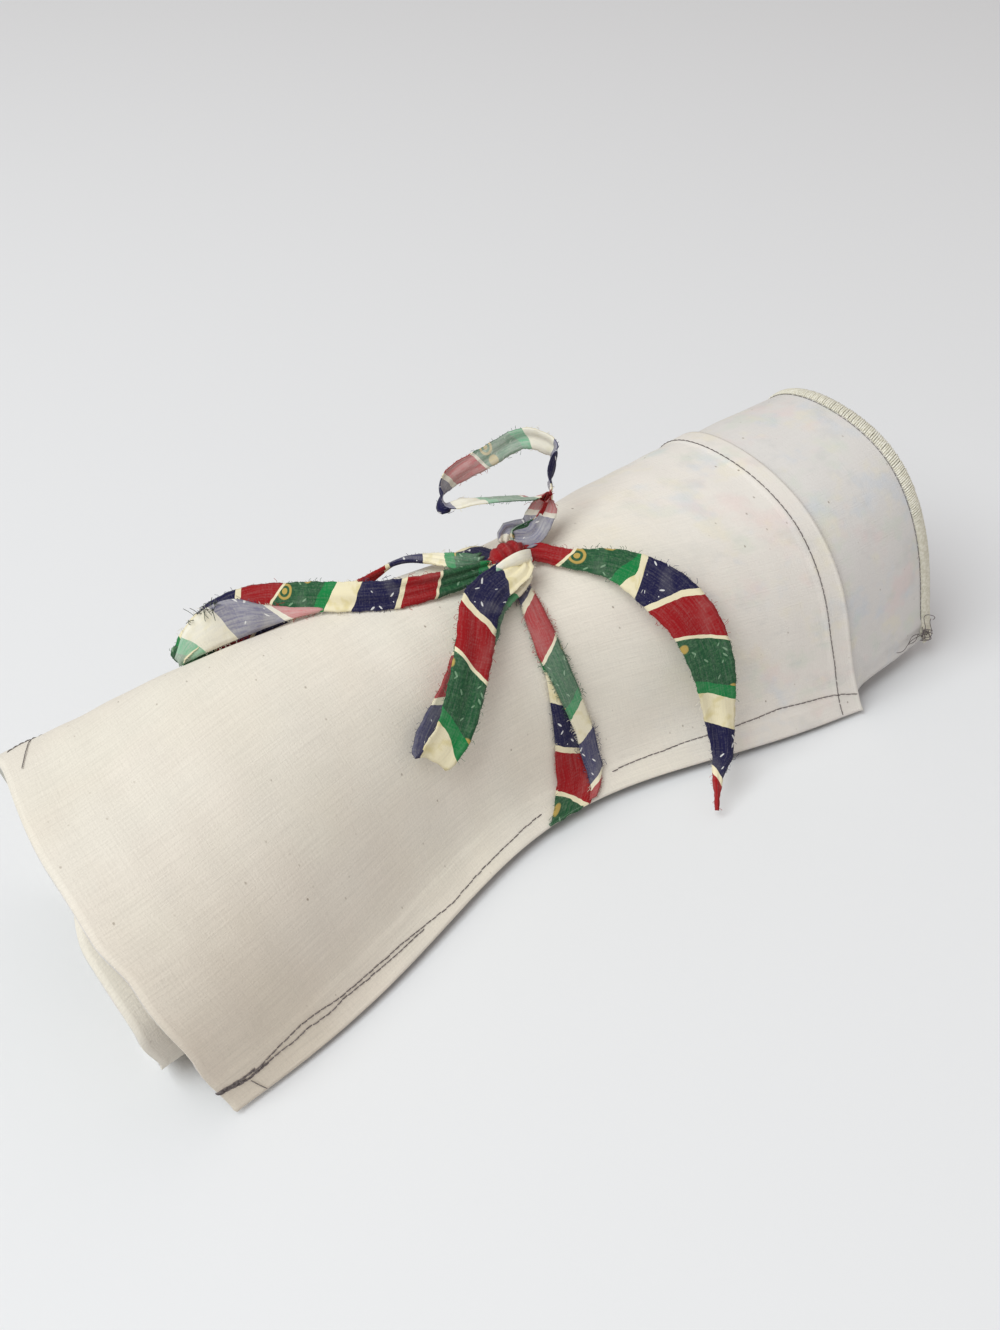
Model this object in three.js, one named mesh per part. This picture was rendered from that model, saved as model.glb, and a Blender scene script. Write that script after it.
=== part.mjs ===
import * as THREE from "three";

// Knitting needle roll: a long cloth case with needle pockets inside, rolled up
// loosely, lying on its flat underside and tied round the waist with a cotton strip.
// Millimetres, +Z up. The roll lies along X with the flap end at +X, its loose hem
// faces -Y, and the origin is on the resting face below the middle of the outer panel.

// Cloth pieces
const PANEL_LENGTH = 295;    // outer panel along the needles
const FLAP_REACH = 48;       // lining beyond the outer panel at the flap end
const CLOTH = 0.6;           // panel thickness
const LINING = 0.5;          // lining thickness
const HEM_FOLD = 0.6;        // extra thickness of a turned hem
const HEM_WIDTH = 9;
const CLEAR = 0.3;           // gap between touching layers
const LINING_INSET = 14;     // loose hem edge to the lining's first edge, along the cloth
const OVERLOCK_WIDTH = 5.5;
const OVERLOCK_THICK = 2.6;

// Needle pockets on the lining
const POCKET_STRETCHES = [0.34, 0.437, 0.714, 0.895]; // down the back, underneath, up the
                             // inner front: places round the spiral, 0 at the loose hem
const STRETCH_POCKETS = 2;   // pockets on each stretch
const POCKET_MOUTH = 45;     // x of the pockets' open edge
const POCKET_BULGE = 12;     // how far a pocket stands open
const POCKET_CLOSE = 32;     // length over which a pocket narrows to its sewn end
const POCKET_INSET = 2;      // sewn end to the outer panel's end
const POCKET_ROWS = 5;       // facets across one pocket

// Form of the roll, at the pocket end and at the flap end
const HEIGHT = [72, 105];
const BACK_Y = [61, 32];
const HEM_Y = -68;           // loose hem at both ends
const HEM_Z = 1.3;

// Form of the front: slack, at the flap end, and full as it stands at the pocket end
const FULL_REACH = 130;      // length over which the full front goes slack
const CREST_Y = [34, -20, 20]; // where the section is highest
const FRONT_BACK = [22, 4, 5]; // lower front, behind the loose hem
const FRONT_RISE = [0.03, 0.28, 0.3]; // and above it, as a share of the height
const LOW_BACK = [0.5, 0.11, 0.12]; // front at mid height, from hem to crest
const HIGH_BACK = [0.88, 0.46, 0.5]; // front below the top
const NOSE_BACK = [36, 22, 24]; // inner turn's front behind the loose hem
const NOSE_WAIST = 9;        // and how much closer it is at the waist
const TURN_IN = [26, 16];    // where the inner turn leaves the underside, at the ends and
                             // at the waist, and where it has curled up
const CURL_IN = [12, 6];
const TURN_GAP = 6;          // from one turn of the spiral to the next
const LEAN = [-4, -17];      // how far the ends lean along X, per LEAN_HEIGHT
const LEAN_HEIGHT = 80;
const FLAP_TUCK = 5;         // how far the flap's lower edge turns under
const END_EDGE = [[0, 0], [0.04, 0], [0.12, 9], [0.18, 15.5], [0.27, 5.5], [0.36, -1.5],
  [0.5, -6], [0.58, -2], [0.66, 8], [0.72, 10.5], [0.78, 14], [0.84, 16], [0.9, 0],
  [1, -6]];                  // place round the spiral, and how far the uneven pocket end
                             // reaches out there

// Tie
const TIE_X = 18;
const STRIP_WIDTH = 13;
const STRIP = 0.7;
const TIE_CLEAR = 0.5;       // strip to the roll under it
const TIE_RISES = 0.06;      // place where the strip begins to slant up to the knot
const TIE_TURNS_UNDER = 0.66; // where the strip leaves the underside for the loose hem
const WAIST_HEM = 29.5;      // loose hem drawn in at the tie
const WAIST_TOP = 4;
const WAIST_REACH = 100;
const DENT = 5;              // dent under the strip at the top
const DENT_X = 28;           // dent and knot stand this far along from the tie's foot
const DENT_REACH = 38;
const GROOVE_SPARE = 0.5;    // strip to the table, in the groove under the roll
const GROOVE_REACH = 9.5;
const KNOT_S = 0.23;         // place of the knot round the spiral
const KNOT_X = 18;           // knot from the tie's foot, along X
const KNOT_LONG = 15;
const KNOT_ROUND = 5;        // knot's largest radius
const KNOT_LEAD = 3;         // how far a strip runs straight out of the knot
const KNOT_PINCH = 0.5;      // share of the strip's width left where it enters the knot
const TAIL_WIDTH = 19;       // where the tail opens out
const TAIL_TIP = 4;

const PANEL_MIN = -PANEL_LENGTH / 2;
const PANEL_MAX = PANEL_LENGTH / 2;
const FLAP_END = PANEL_MAX + FLAP_REACH;
const LINING_DEPTH = CLOTH + HEM_FOLD + CLEAR;
const POCKET_DEPTH = LINING_DEPTH + LINING + CLEAR;
const STRIP_HALF = STRIP_WIDTH / 2;
const GROOVE = TIE_CLEAR + STRIP + GROOVE_SPARE; // underside lifted to clear the strip
const { lerp, smoothstep, clamp } = THREE.MathUtils;

// Control points of one cross-section, from the loose hem up the front, over the top,
// down the back, along the flat underside and up again as the inner turn.
function sectionControls(x) {
  const along = (x - PANEL_MIN) / (FLAP_END - PANEL_MIN);
  const panel = clamp((x - PANEL_MIN) / PANEL_LENGTH, 0, 1);
  const waist = Math.exp(-(((x - TIE_X) / WAIST_REACH) ** 2));
  const dent = Math.exp(-(((x - TIE_X - DENT_X) / DENT_REACH) ** 2));
  const height = lerp(...HEIGHT, along) - WAIST_TOP * waist - DENT * dent;
  const full = 1 - smoothstep(x, PANEL_MIN, PANEL_MIN + FULL_REACH);
  const front = ([slack, flap, pocket]) => lerp(lerp(slack, flap, along), pocket, full);
  const crest = front(CREST_Y);
  const back = lerp(...BACK_Y, along);
  const tuck = FLAP_TUCK * Math.max(0, x - PANEL_MAX) / FLAP_REACH;
  const hem = HEM_Y + WAIST_HEM * waist * Math.sqrt(4 * panel * (1 - panel)) + tuck;
  const hemZ = HEM_Z + 2.4 * waist;
  const floor = GROOVE * Math.exp(-(((x - TIE_X) / GROOVE_REACH) ** 8));
  const nose = hem + front(NOSE_BACK) - NOSE_WAIST * waist;
  const low = lerp(hem, crest, front(LOW_BACK));
  const high = lerp(hem, crest, front(HIGH_BACK));
  const rear = back - 26;
  const fore = nose + lerp(...TURN_IN, waist);
  return [
    [hem, hemZ],
    [hem + front(FRONT_BACK), Math.max(hemZ, front(FRONT_RISE) * height)],
    [low, 0.6 * height],
    [high, 0.95 * height],
    [lerp(crest, back, 0.25), 1.05 * height],
    [lerp(crest, back, 0.88), 0.97 * height],
    [back + 4, 0.6 * height],
    [back + 3, 0.22 * height],
    [back - 12, floor],
    [rear, floor],
    [lerp(rear, fore, 1 / 3), floor],
    [lerp(rear, fore, 2 / 3), floor],
    [fore, floor],
    [nose + lerp(...CURL_IN, waist), floor],
    [nose - lerp(6, 3, along), lerp(0.15, 0.1, along) * height + floor],
    [lerp(nose, low, 0.55) + TURN_GAP * 0.3, lerp(0.36, 0.38, along) * height],
    [low + TURN_GAP * 1.1, 0.6 * height - TURN_GAP * 0.7],
    [high + TURN_GAP * 0.8, 0.93 * height - TURN_GAP * 1.2],
    [lerp(crest, back, 0.1), 0.99 * height - TURN_GAP],
    [lerp(crest, back, 0.45), 0.97 * height - TURN_GAP],
  ];
}

const END_PLACE = 0.02; // the curve's direction fades out nearer to its ends than this

const sections = new Map();
function section(x) {
  if (!sections.has(x)) {
    const points = sectionControls(x);
    const first = points[0];
    const last = points[points.length - 1];
    sections.set(x, [first, first, ...points, last, last]);
  }
  return sections.get(x);
}

function endReach(s) {
  const k = clamp(END_EDGE.findIndex(([place]) => place >= s), 1, END_EDGE.length - 1);
  const [from, to] = END_EDGE.slice(k - 1, k + 1);
  return lerp(from[1], to[1], smoothstep(s, from[0], to[0]));
}

// Point of the cloth at x and at place s round the spiral, depth mm inside the outer face,
// with the outward direction there.
function clothPoint(x, s, depth) {
  const points = section(x);
  const spans = points.length - 3;
  const place = clamp(clamp(s, 0, 1) * spans, END_PLACE, spans - END_PLACE);
  const i = Math.floor(place);
  const f = place - i;
  const weight = [(1 - f) ** 3 / 6, (3 * f ** 3 - 6 * f ** 2 + 4) / 6,
    (-3 * f ** 3 + 3 * f ** 2 + 3 * f + 1) / 6, f ** 3 / 6];
  const slope = [-((1 - f) ** 2) / 2, (3 * f ** 2 - 4 * f) / 2,
    (-3 * f ** 2 + 2 * f + 1) / 2, f ** 2 / 2];
  const at = new THREE.Vector2();
  const run = new THREE.Vector2();
  for (let k = 0; k < 4; k += 1) {
    const [y, z] = points[i + k];
    at.x += weight[k] * y;
    at.y += weight[k] * z;
    run.x += slope[k] * y;
    run.y += slope[k] * z;
  }
  run.normalize();
  const y = at.x + run.y * depth;
  const z = at.y - run.x * depth;
  const along = (x - PANEL_MIN) / (FLAP_END - PANEL_MIN);
  const lean = lerp(...LEAN, along) * z / LEAN_HEIGHT;
  const fade = clamp(x / PANEL_MIN, 0, 1) ** 1.5;
  const point = new THREE.Vector3(x + lean - fade * endReach(s), y, z);
  return { point, out: new THREE.Vector3(0, -run.y, run.x) };
}

// Place round the spiral that lies a given length of cloth from the loose hem.
function placeAt(x, length) {
  const steps = 600;
  let travelled = 0;
  let previous = clothPoint(x, 0, 0).point;
  for (let k = 1; k <= steps; k += 1) {
    const next = clothPoint(x, k / steps, 0).point;
    travelled += previous.distanceTo(next);
    if (travelled >= length) {
      return k / steps;
    }
    previous = next;
  }
  return 1;
}

// Places that split the cloth between two places into equal lengths.
const evenPlaces = new Map();
function evenPlace(x, from, to, k) {
  const key = [x, from, to].join();
  if (!evenPlaces.has(key)) {
    const fine = spread(from, to, 200).map((s) => ({ s, at: clothPoint(x, s, 0).point }));
    fine.forEach((stop, i) => {
      stop.length = i === 0 ? 0 : fine[i - 1].length + stop.at.distanceTo(fine[i - 1].at);
    });
    evenPlaces.set(key, fine);
  }
  const fine = evenPlaces.get(key);
  const length = k * fine[fine.length - 1].length;
  return fine.find((stop) => stop.length >= length - 1e-9).s;
}

// Closed geometry from vertices and quads, turned so that its faces point out.
function solid(vertices, quads) {
  const index = [];
  for (const [a, b, c, d] of quads) {
    index.push(a, b, c, a, c, d);
  }
  let volume = 0;
  for (let k = 0; k < index.length; k += 3) {
    const [a, b, c] = [vertices[index[k]], vertices[index[k + 1]], vertices[index[k + 2]]];
    volume += a.dot(new THREE.Vector3().crossVectors(b, c));
  }
  if (volume < 0) {
    index.reverse();
  }
  const geometry = new THREE.BufferGeometry().setFromPoints(vertices);
  geometry.setIndex(index);
  geometry.computeVertexNormals();
  return geometry;
}

// Sheet of cloth on the spiral: columns are x values, rows give s at each x, and depth
// gives the outer and inner depth at each corner of the grid.
function rolledSheet(columns, rows, depth) {
  const vertices = [];
  const quads = [];
  const count = rows.length;
  const total = columns.length * count;
  for (const side of [0, 1]) {
    for (const x of columns) {
      rows.forEach((row, j) => {
        const s = row(x);
        vertices.push(clothPoint(x, s, depth(x, s, j)[side]).point);
      });
    }
  }
  const border = [];
  for (let i = 0; i + 1 < columns.length; i += 1) {
    for (let j = 0; j + 1 < count; j += 1) {
      const a = i * count + j;
      quads.push([a, a + 1, a + count + 1, a + count]);
      quads.push([total + a, total + a + count, total + a + count + 1, total + a + 1]);
    }
  }
  for (let j = 0; j < count; j += 1) {
    border.push(j);
  }
  for (let i = 1; i < columns.length; i += 1) {
    border.push(i * count + count - 1);
  }
  for (let j = count - 2; j >= 0; j -= 1) {
    border.push((columns.length - 1) * count + j);
  }
  for (let i = columns.length - 2; i > 0; i -= 1) {
    border.push(i * count);
  }
  for (let k = 0; k < border.length; k += 1) {
    const a = border[k];
    const b = border[(k + 1) % border.length];
    quads.push([b, a, total + a, total + b]);
  }
  return solid(vertices, quads);
}

// Strip of cloth along centre points, each with its half width, across direction and
// facing direction.
function strip(stations, thick) {
  const vertices = [];
  const quads = [];
  for (const { at, across, facing, half } of stations) {
    for (const [side, face] of [[-1, -1], [1, -1], [1, 1], [-1, 1]]) {
      const corner = at.clone().addScaledVector(across, side * half);
      vertices.push(corner.addScaledVector(facing, face * thick / 2));
    }
  }
  for (let k = 0; k + 1 < stations.length; k += 1) {
    const from = 4 * k;
    const to = from + 4;
    for (let e = 0; e < 4; e += 1) {
      const f = (e + 1) % 4;
      quads.push([from + e, from + f, to + f, to + e]);
    }
  }
  const end = vertices.length - 4;
  quads.push([3, 2, 1, 0], [end, end + 1, end + 2, end + 3]);
  return solid(vertices, quads);
}

function spread(from, to, steps) {
  return Array.from({ length: steps + 1 }, (_, k) => lerp(from, to, k / steps));
}

// Grid lines that every layer shares, so that the layers stay parallel. Columns are x
// values, closer together at the tie; rows run round the spiral from the lining's edge.
const POCKET_END = PANEL_MIN + POCKET_INSET;
const POCKET_FROM = POCKET_STRETCHES[0];
const POCKET_TO = POCKET_STRETCHES[POCKET_STRETCHES.length - 1];
const BAND_FROM = PANEL_MAX - HEM_WIDTH;
const HEM_STEP = 0.4; // width of the step where a turned hem begins
const panelColumns = [
  PANEL_MIN,
  ...spread(POCKET_END, POCKET_END + POCKET_CLOSE, 2),
  ...spread(POCKET_END + POCKET_CLOSE, TIE_X - 2 * STRIP_HALF, 3).slice(1),
  TIE_X - STRIP_HALF,
  TIE_X,
  TIE_X + STRIP_HALF,
  TIE_X + 2 * STRIP_HALF,
  ...spread(POCKET_MOUTH, BAND_FROM - HEM_STEP, 4),
  BAND_FROM,
  PANEL_MAX,
];

function sharedRows(columns) {
  const start = new Map(columns.map((x) => [x, placeAt(x, LINING_INSET)]));
  return [
    ...spread(0, 1, 10).slice(0, -1).map((k) => (x) => lerp(start.get(x), POCKET_FROM, k)),
    ...pocketRows(),
    ...spread(POCKET_TO, 1, 3).slice(1).map((s) => () => s),
  ];
}

function pocketRows() {
  const rows = [];
  for (let k = 0; k + 1 < POCKET_STRETCHES.length; k += 1) {
    const [from, to] = POCKET_STRETCHES.slice(k, k + 2);
    const even = spread(0, 1, STRETCH_POCKETS * POCKET_ROWS).slice(k === 0 ? 0 : 1);
    rows.push(...even.map((part) => (x) => evenPlace(x, from, to, part)));
  }
  return rows;
}

// Outer panel, thicker along the loose hem and along the flap end.
function outerPanel() {
  const columns = panelColumns;
  const hem = new Map(columns.map((x) => [x, placeAt(x, HEM_WIDTH)]));
  const past = new Map(columns.map((x) => [x, placeAt(x, HEM_WIDTH + HEM_STEP)]));
  const rows = [() => 0, (x) => hem.get(x) / 2, (x) => hem.get(x), (x) => past.get(x),
    ...sharedRows(columns)];
  const depth = (x, s) => {
    const hemmed = x >= BAND_FROM || s <= hem.get(x);
    return [0, hemmed ? CLOTH + HEM_FOLD : CLOTH];
  };
  return rolledSheet(columns, rows, depth);
}

// Lining that reaches past the outer panel as the flap.
function liningPanel() {
  const columns = [...panelColumns, ...spread(PANEL_MAX, FLAP_END, 3).slice(1)];
  const rows = sharedRows(columns).slice(0, -1);
  return rolledSheet(columns, rows, () => [LINING_DEPTH, LINING_DEPTH + LINING]);
}

// Thick sewn-over edge along the end of the flap.
function overlockEdge() {
  const from = FLAP_END + CLEAR;
  const columns = [0, 0.25, 0.75, 1].map((k) => from + k * OVERLOCK_WIDTH);
  const middle = LINING_DEPTH + LINING / 2;
  const depth = (x) => {
    const edge = x === columns[0] || x === columns[3];
    const half = OVERLOCK_THICK / 2 * (edge ? 0.5 : 1);
    return [middle - half, middle + half];
  };
  return rolledSheet(columns, sharedRows(columns).slice(0, -1), depth);
}

// Pocket panel sewn down between the needle pockets and open at its mouth.
function pocketPanel() {
  const columns = panelColumns.filter((x) => x >= POCKET_END && x <= POCKET_MOUTH);
  const depth = (x, s, j) => {
    const open = smoothstep(x, POCKET_END, POCKET_END + POCKET_CLOSE);
    const bulge = POCKET_BULGE * open * Math.sin(Math.PI * j / POCKET_ROWS) ** 2;
    return [POCKET_DEPTH + bulge, POCKET_DEPTH + bulge + CLOTH];
  };
  return rolledSheet(columns, pocketRows(), depth);
}

// Strip drawn tight round the waist: up the front from the loose hem, over the top, down
// the back, under, and round the edge of the hem again.
function tieBand() {
  const hem = placeAt(TIE_X, HEM_WIDTH);
  const rows = [() => 0.006, () => hem / 2, () => hem, ...sharedRows([TIE_X])];
  const places = rows.map((row) => row(TIE_X)).filter((s) => s < TIE_TURNS_UNDER);
  const ring = [];
  for (const s of places) {
    const climb = clamp((s - TIE_RISES) / (KNOT_S - TIE_RISES), 0, 1) ** 1.6;
    const rise = s < KNOT_S ? climb : 1 - smoothstep(s, KNOT_S, 0.45);
    const x = TIE_X + KNOT_X * rise;
    ring.push((side, off) => clothPoint(x + side * STRIP_HALF, s, -off).point);
  }
  for (const [depth, turn] of [[CLOTH + HEM_FOLD, -1], [0, 1]]) {
    ring.push((side, off) => {
      const { point, out } = clothPoint(TIE_X + side * STRIP_HALF, 0, depth);
      const beyond = new THREE.Vector3(0, -out.z, out.y);
      return point.addScaledVector(beyond, off).addScaledVector(out, turn * off);
    });
  }
  const vertices = [];
  const quads = [];
  const near = TIE_CLEAR;
  const far = TIE_CLEAR + STRIP;
  for (const corner of ring) {
    vertices.push(corner(-1, near), corner(0, near), corner(1, near));
    vertices.push(corner(1, far), corner(0, far), corner(-1, far));
  }
  for (let k = 0; k < ring.length; k += 1) {
    const from = 6 * k;
    const to = 6 * ((k + 1) % ring.length);
    for (let e = 0; e < 6; e += 1) {
      const f = (e + 1) % 6;
      quads.push([from + e, from + f, to + f, to + e]);
    }
  }
  return solid(vertices, quads);
}

// Knot: where it sits, and its directions along the roll, outward and round to the back.
const ALONG = new THREE.Vector3(1, 0, 0);
const knotSeat = clothPoint(TIE_X + KNOT_X, KNOT_S, 0);
const knotOut = knotSeat.out.clone();
const knotRound = new THREE.Vector3().crossVectors(knotOut, ALONG);
const knotCentre = knotSeat.point.clone()
  .addScaledVector(knotOut, TIE_CLEAR + STRIP + CLEAR + KNOT_ROUND);
const KNOT_END = KNOT_LONG / 2 + CLEAR;
const KNOT_SIDE = KNOT_ROUND + CLEAR;

function tieKnot() {
  const steps = 8;
  const profile = spread(0, 1, steps).map((k, i) => {
    const radius = i === 0 || i === steps ? 0 : KNOT_ROUND * Math.sin(Math.PI * k) ** 0.6;
    return new THREE.Vector2(radius, -KNOT_LONG / 2 * Math.cos(Math.PI * k));
  });
  const geometry = new THREE.LatheGeometry(profile, 14);
  geometry.rotateZ(-Math.PI / 2);
  return geometry.translate(knotCentre.x, knotCentre.y, knotCentre.z);
}

function inFrame(out, [along, outward, round]) {
  return new THREE.Vector3(along, 0, 0)
    .addScaledVector(out, outward)
    .addScaledVector(new THREE.Vector3().crossVectors(out, ALONG), round);
}

// Bow strip that starts at the knot, follows the roll and, as a loop, comes back. Its ends
// are given from the knot's centre along, outward and round, and leave it straight along
// lead; each stop gives the distance from the knot along X, the place round the spiral, the
// height over the cloth and, at a tip, how far it then droops. acrossAt and widthAt give the
// direction and size of its width over its length.
function bowStrip(lead, ends, stops, steps, acrossAt, widthAt) {
  const atKnot = (end, k) => {
    const from = end.map((value, i) => value + k * lead[i]);
    return { point: knotCentre.clone().add(inFrame(knotOut, from)), out: knotOut };
  };
  const path = [
    atKnot(ends[0], 0),
    atKnot(ends[0], 1),
    ...stops.map(([along, s, height, droop = 0]) => {
      const { point, out } = clothPoint(TIE_X + KNOT_X + along, s, -height);
      point.z -= droop;
      return { point, out };
    }),
    ...ends.slice(1).flatMap((end) => [atKnot(end, 1), atKnot(end, 0)]),
  ];
  const curve = new THREE.CatmullRomCurve3(path.map(({ point }) => point), false, "centripetal");
  const stations = spread(0, 1, steps).map((k) => {
    const i = Math.min(path.length - 2, Math.floor(k * (path.length - 1)));
    const out = path[i].out.clone().lerp(path[i + 1].out, k * (path.length - 1) - i).normalize();
    const run = curve.getTangent(k);
    const across = inFrame(out, acrossAt(k));
    across.addScaledVector(run, -across.dot(run)).normalize();
    const facing = new THREE.Vector3().crossVectors(run, across);
    return { at: curve.getPoint(k), across, facing, half: widthAt(k) / 2 };
  });
  return strip(stations, STRIP);
}

const blend = (a, b, k) => a.map((value, i) => lerp(value, b[i], k));
const nearKnot = (k) => clamp(5 * Math.min(k, 1 - k), 0, 1);
const loopWidth = (k) => STRIP_WIDTH * lerp(KNOT_PINCH, 1, nearKnot(k));

// The loop that lies along the roll towards the pocket end.
function leftLoop() {
  const stops = [
    [-22, 0.233, 7], [-36, 0.237, 6.8], [-50, 0.247, 6.8], [-63, 0.262, 6.8], [-77, 0.275, 6.8],
    [-92, 0.279, 6.9], [-104, 0.281, 6.9], [-110, 0.287, 6.8], [-105, 0.294, 6], [-91, 0.297, 5],
    [-72, 0.297, 4.4], [-54, 0.294, 4.4], [-39, 0.284, 5], [-25, 0.27, 6],
  ];
  const ends = [[-KNOT_END, 0.5, -2], [-KNOT_END, 0.5, 2.5]];
  const standing = [0, 0.85, 0.5], lying = [0, 0.2, 0.98], tied = [0, 0.62, 0.78];
  const acrossAt = (k) => {
    const back = blend(standing, lying, smoothstep(k, 0.55, 0.72));
    return blend(blend(tied, back, smoothstep(k, 0, 0.15)), tied, smoothstep(k, 0.8, 1));
  };
  return bowStrip([-KNOT_LEAD, 0, 0], ends, stops, 44, acrossAt, loopWidth);
}

// The loop that stands up behind the knot.
function upperLoop() {
  const stops = [
    [14, 0.245, 11], [25, 0.252, 14], [13, 0.261, 15], [0, 0.266, 19], [-8, 0.268, 22],
    [-1, 0.267, 27], [11, 0.263, 31], [29, 0.253, 35], [37, 0.243, 28], [31, 0.24, 16],
    [17, 0.237, 12],
  ];
  const ends = [[0.5, 1, KNOT_SIDE], [4.5, 1, KNOT_SIDE]];
  const narrow = (k) => 0.75 * loopWidth(k);
  return bowStrip([0, 0, KNOT_LEAD], ends, stops, 44, () => [0, 1, -0.2], narrow);
}

// The loop that hangs down the front.
function frontLoop() {
  const stops = [
    [-15, 0.203, 11], [-32, 0.188, 12], [-45, 0.168, 13], [-59, 0.153, 12], [-68, 0.147, 8.5],
    [-63, 0.153, 5], [-50, 0.168, 5], [-36, 0.187, 5], [-17, 0.204, 5],
  ];
  const ends = [[-1, 2.2, -KNOT_SIDE], [-1, -1.6, -KNOT_SIDE]];
  const acrossAt = (k) => blend([1, 0, 0], [0.8, 0, -0.6], nearKnot(k));
  return bowStrip([0, 0, -KNOT_LEAD], ends, stops, 36, acrossAt, loopWidth);
}

// The tail that runs towards the flap end and drops over the loose hem.
function rightTail() {
  const stops = [
    [19, 0.219, 5], [31, 0.197, 7], [39, 0.179, 8], [44, 0.16, 10], [45, 0.136, 12],
    [43, 0.106, 14], [38, 0.055, 17], [32, 0.01, 22, 3], [26, 0, 35, 20],
  ];
  const acrossAt = (k) => blend([0, 0.3, 1], [1, 0.25, 0], smoothstep(k, 0.1, 0.7));
  const widthAt = (k) => {
    const open = smoothstep(k, 0, 0.55) * (TAIL_WIDTH - STRIP_WIDTH * KNOT_PINCH);
    const taper = smoothstep(k, 0.6, 1) * (TAIL_WIDTH - TAIL_TIP);
    return STRIP_WIDTH * KNOT_PINCH + open - taper;
  };
  return bowStrip([KNOT_LEAD, 0, 0], [[KNOT_END, 0.5, 0]], stops, 28, acrossAt, widthAt);
}

const calico = { color: 0xe6dfd0, roughness: 0.95, metalness: 0 };
const palePrint = { color: 0xdcd9d2, roughness: 0.95, metalness: 0 };
const thread = { color: 0xd9d3bd, roughness: 0.9, metalness: 0 };
const stripedPrint = { color: 0x7c1c20, roughness: 0.92, metalness: 0 };

const roll = new THREE.Group();
function place(name, geometry, look) {
  const mesh = new THREE.Mesh(geometry, new THREE.MeshStandardMaterial(look));
  mesh.name = name;
  roll.add(mesh);
}

place("outer_panel", outerPanel(), calico);
place("lining_panel", liningPanel(), palePrint);
place("overlock_edge", overlockEdge(), thread);
place("pocket_panel", pocketPanel(), calico);
place("tie_band", tieBand(), stripedPrint);
place("tie_knot", tieKnot(), stripedPrint);
place("left_loop", leftLoop(), stripedPrint);
place("upper_loop", upperLoop(), stripedPrint);
place("front_loop", frontLoop(), stripedPrint);
place("right_tail", rightTail(), stripedPrint);

export default roll;
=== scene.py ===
from functools import partialmethod
from math import copysign, cos, exp, pi, radians, sin, sqrt

import bmesh
import bpy
import numpy as np
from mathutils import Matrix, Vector


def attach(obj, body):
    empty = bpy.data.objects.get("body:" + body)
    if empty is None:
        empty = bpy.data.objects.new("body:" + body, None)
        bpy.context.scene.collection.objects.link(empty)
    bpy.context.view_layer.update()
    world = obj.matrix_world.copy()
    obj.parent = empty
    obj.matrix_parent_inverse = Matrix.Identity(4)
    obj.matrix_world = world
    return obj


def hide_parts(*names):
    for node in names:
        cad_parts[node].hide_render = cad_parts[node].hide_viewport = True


# Knitting needle roll: calico outside, printed lining inside, rolled up and tied with a
# torn cotton strip. The cloth's form is worked out in millimetres in the part's frame.

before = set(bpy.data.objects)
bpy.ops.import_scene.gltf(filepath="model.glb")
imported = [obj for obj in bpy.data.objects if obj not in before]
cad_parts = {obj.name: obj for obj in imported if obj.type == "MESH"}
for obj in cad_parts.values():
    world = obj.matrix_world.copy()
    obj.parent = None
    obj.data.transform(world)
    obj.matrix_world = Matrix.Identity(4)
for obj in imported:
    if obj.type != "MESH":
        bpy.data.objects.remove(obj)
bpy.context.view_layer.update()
scene = bpy.context.scene
MM = 0.001

CAMERA_AT = (-0.2633, -0.3294, 0.3875)
CAMERA_TILT, CAMERA_TURN = 52, -40.05
CAMERA_LENS, CAMERA_SENSOR = 54, 36


def placed(name, data):
    made = bpy.data.objects.new(name, data)
    scene.collection.objects.link(made)
    return made


camera = placed("camera", bpy.data.cameras.new("camera"))
scene.camera = camera
camera.data.sensor_fit = "HORIZONTAL"
camera.data.sensor_width = CAMERA_SENSOR
camera.data.lens = CAMERA_LENS
camera.location = CAMERA_AT
camera.rotation_euler = (radians(CAMERA_TILT), 0, radians(CAMERA_TURN))

# Sizes of the cloth and form of the roll, as in the part's solids
PANEL_LENGTH, FLAP_REACH = 295, 48
PANEL_MIN, PANEL_MAX = -PANEL_LENGTH / 2, PANEL_LENGTH / 2
FLAP_END = PANEL_MAX + FLAP_REACH
CLOTH, LINING, STRIP = 0.6, 0.5, 0.7
LINING_DEPTH = 1.5
POCKET_DEPTH = 2.3
LINING_INSET = 14
OVERLOCK_WIDTH = 5.5
POCKET_STRETCHES = [0.34, 0.437, 0.714, 0.895]
STRETCH_POCKETS = 2
POCKET_FROM, POCKET_MOUTH = PANEL_MIN + 2, 45
POCKET_BULGE, POCKET_CLOSE = 12, 32
HEIGHT = (72, 105)
BACK_Y = (61, 32)
HEM_Y, HEM_Z, HEM_LIFT = -68, 1.3, 2.4
FULL_REACH = 130
CREST_Y = (34, -20, 20)
FRONT_BACK = (22, 4, 5)
FRONT_RISE = (0.03, 0.28, 0.3)
LOW_BACK = (0.5, 0.11, 0.12)
HIGH_BACK = (0.88, 0.46, 0.5)
NOSE_BACK = (36, 22, 24)
NOSE_WAIST, NOSE_OUT, NOSE_RISE = 9, (6, 3), (0.15, 0.1)
LOW_RISE, HIGH_RISE = 0.6, 0.95
TOP_SHARES, TOP_RISES = (0.25, 0.88), (1.05, 0.97)
BACK_SWELLS, BACK_RISES = (4, 3), (0.6, 0.22)
FOOT_IN, REAR_IN = 12, 26
TURN_IN, CURL_IN = (26, 16), (12, 6)
TURN_GAP = 6
INNER_FRONT, INNER_RISE, INNER_HIGH = 0.55, (0.36, 0.38), 0.93
INNER_GAPS = (0.3, (1.1, 0.7), (0.8, 1.2))
INNER_SHARES, INNER_RISES = (0.1, 0.45), (0.99, 0.97)
LEAN, LEAN_HEIGHT = (-4, -17), 80
FLAP_TUCK = 5
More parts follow.
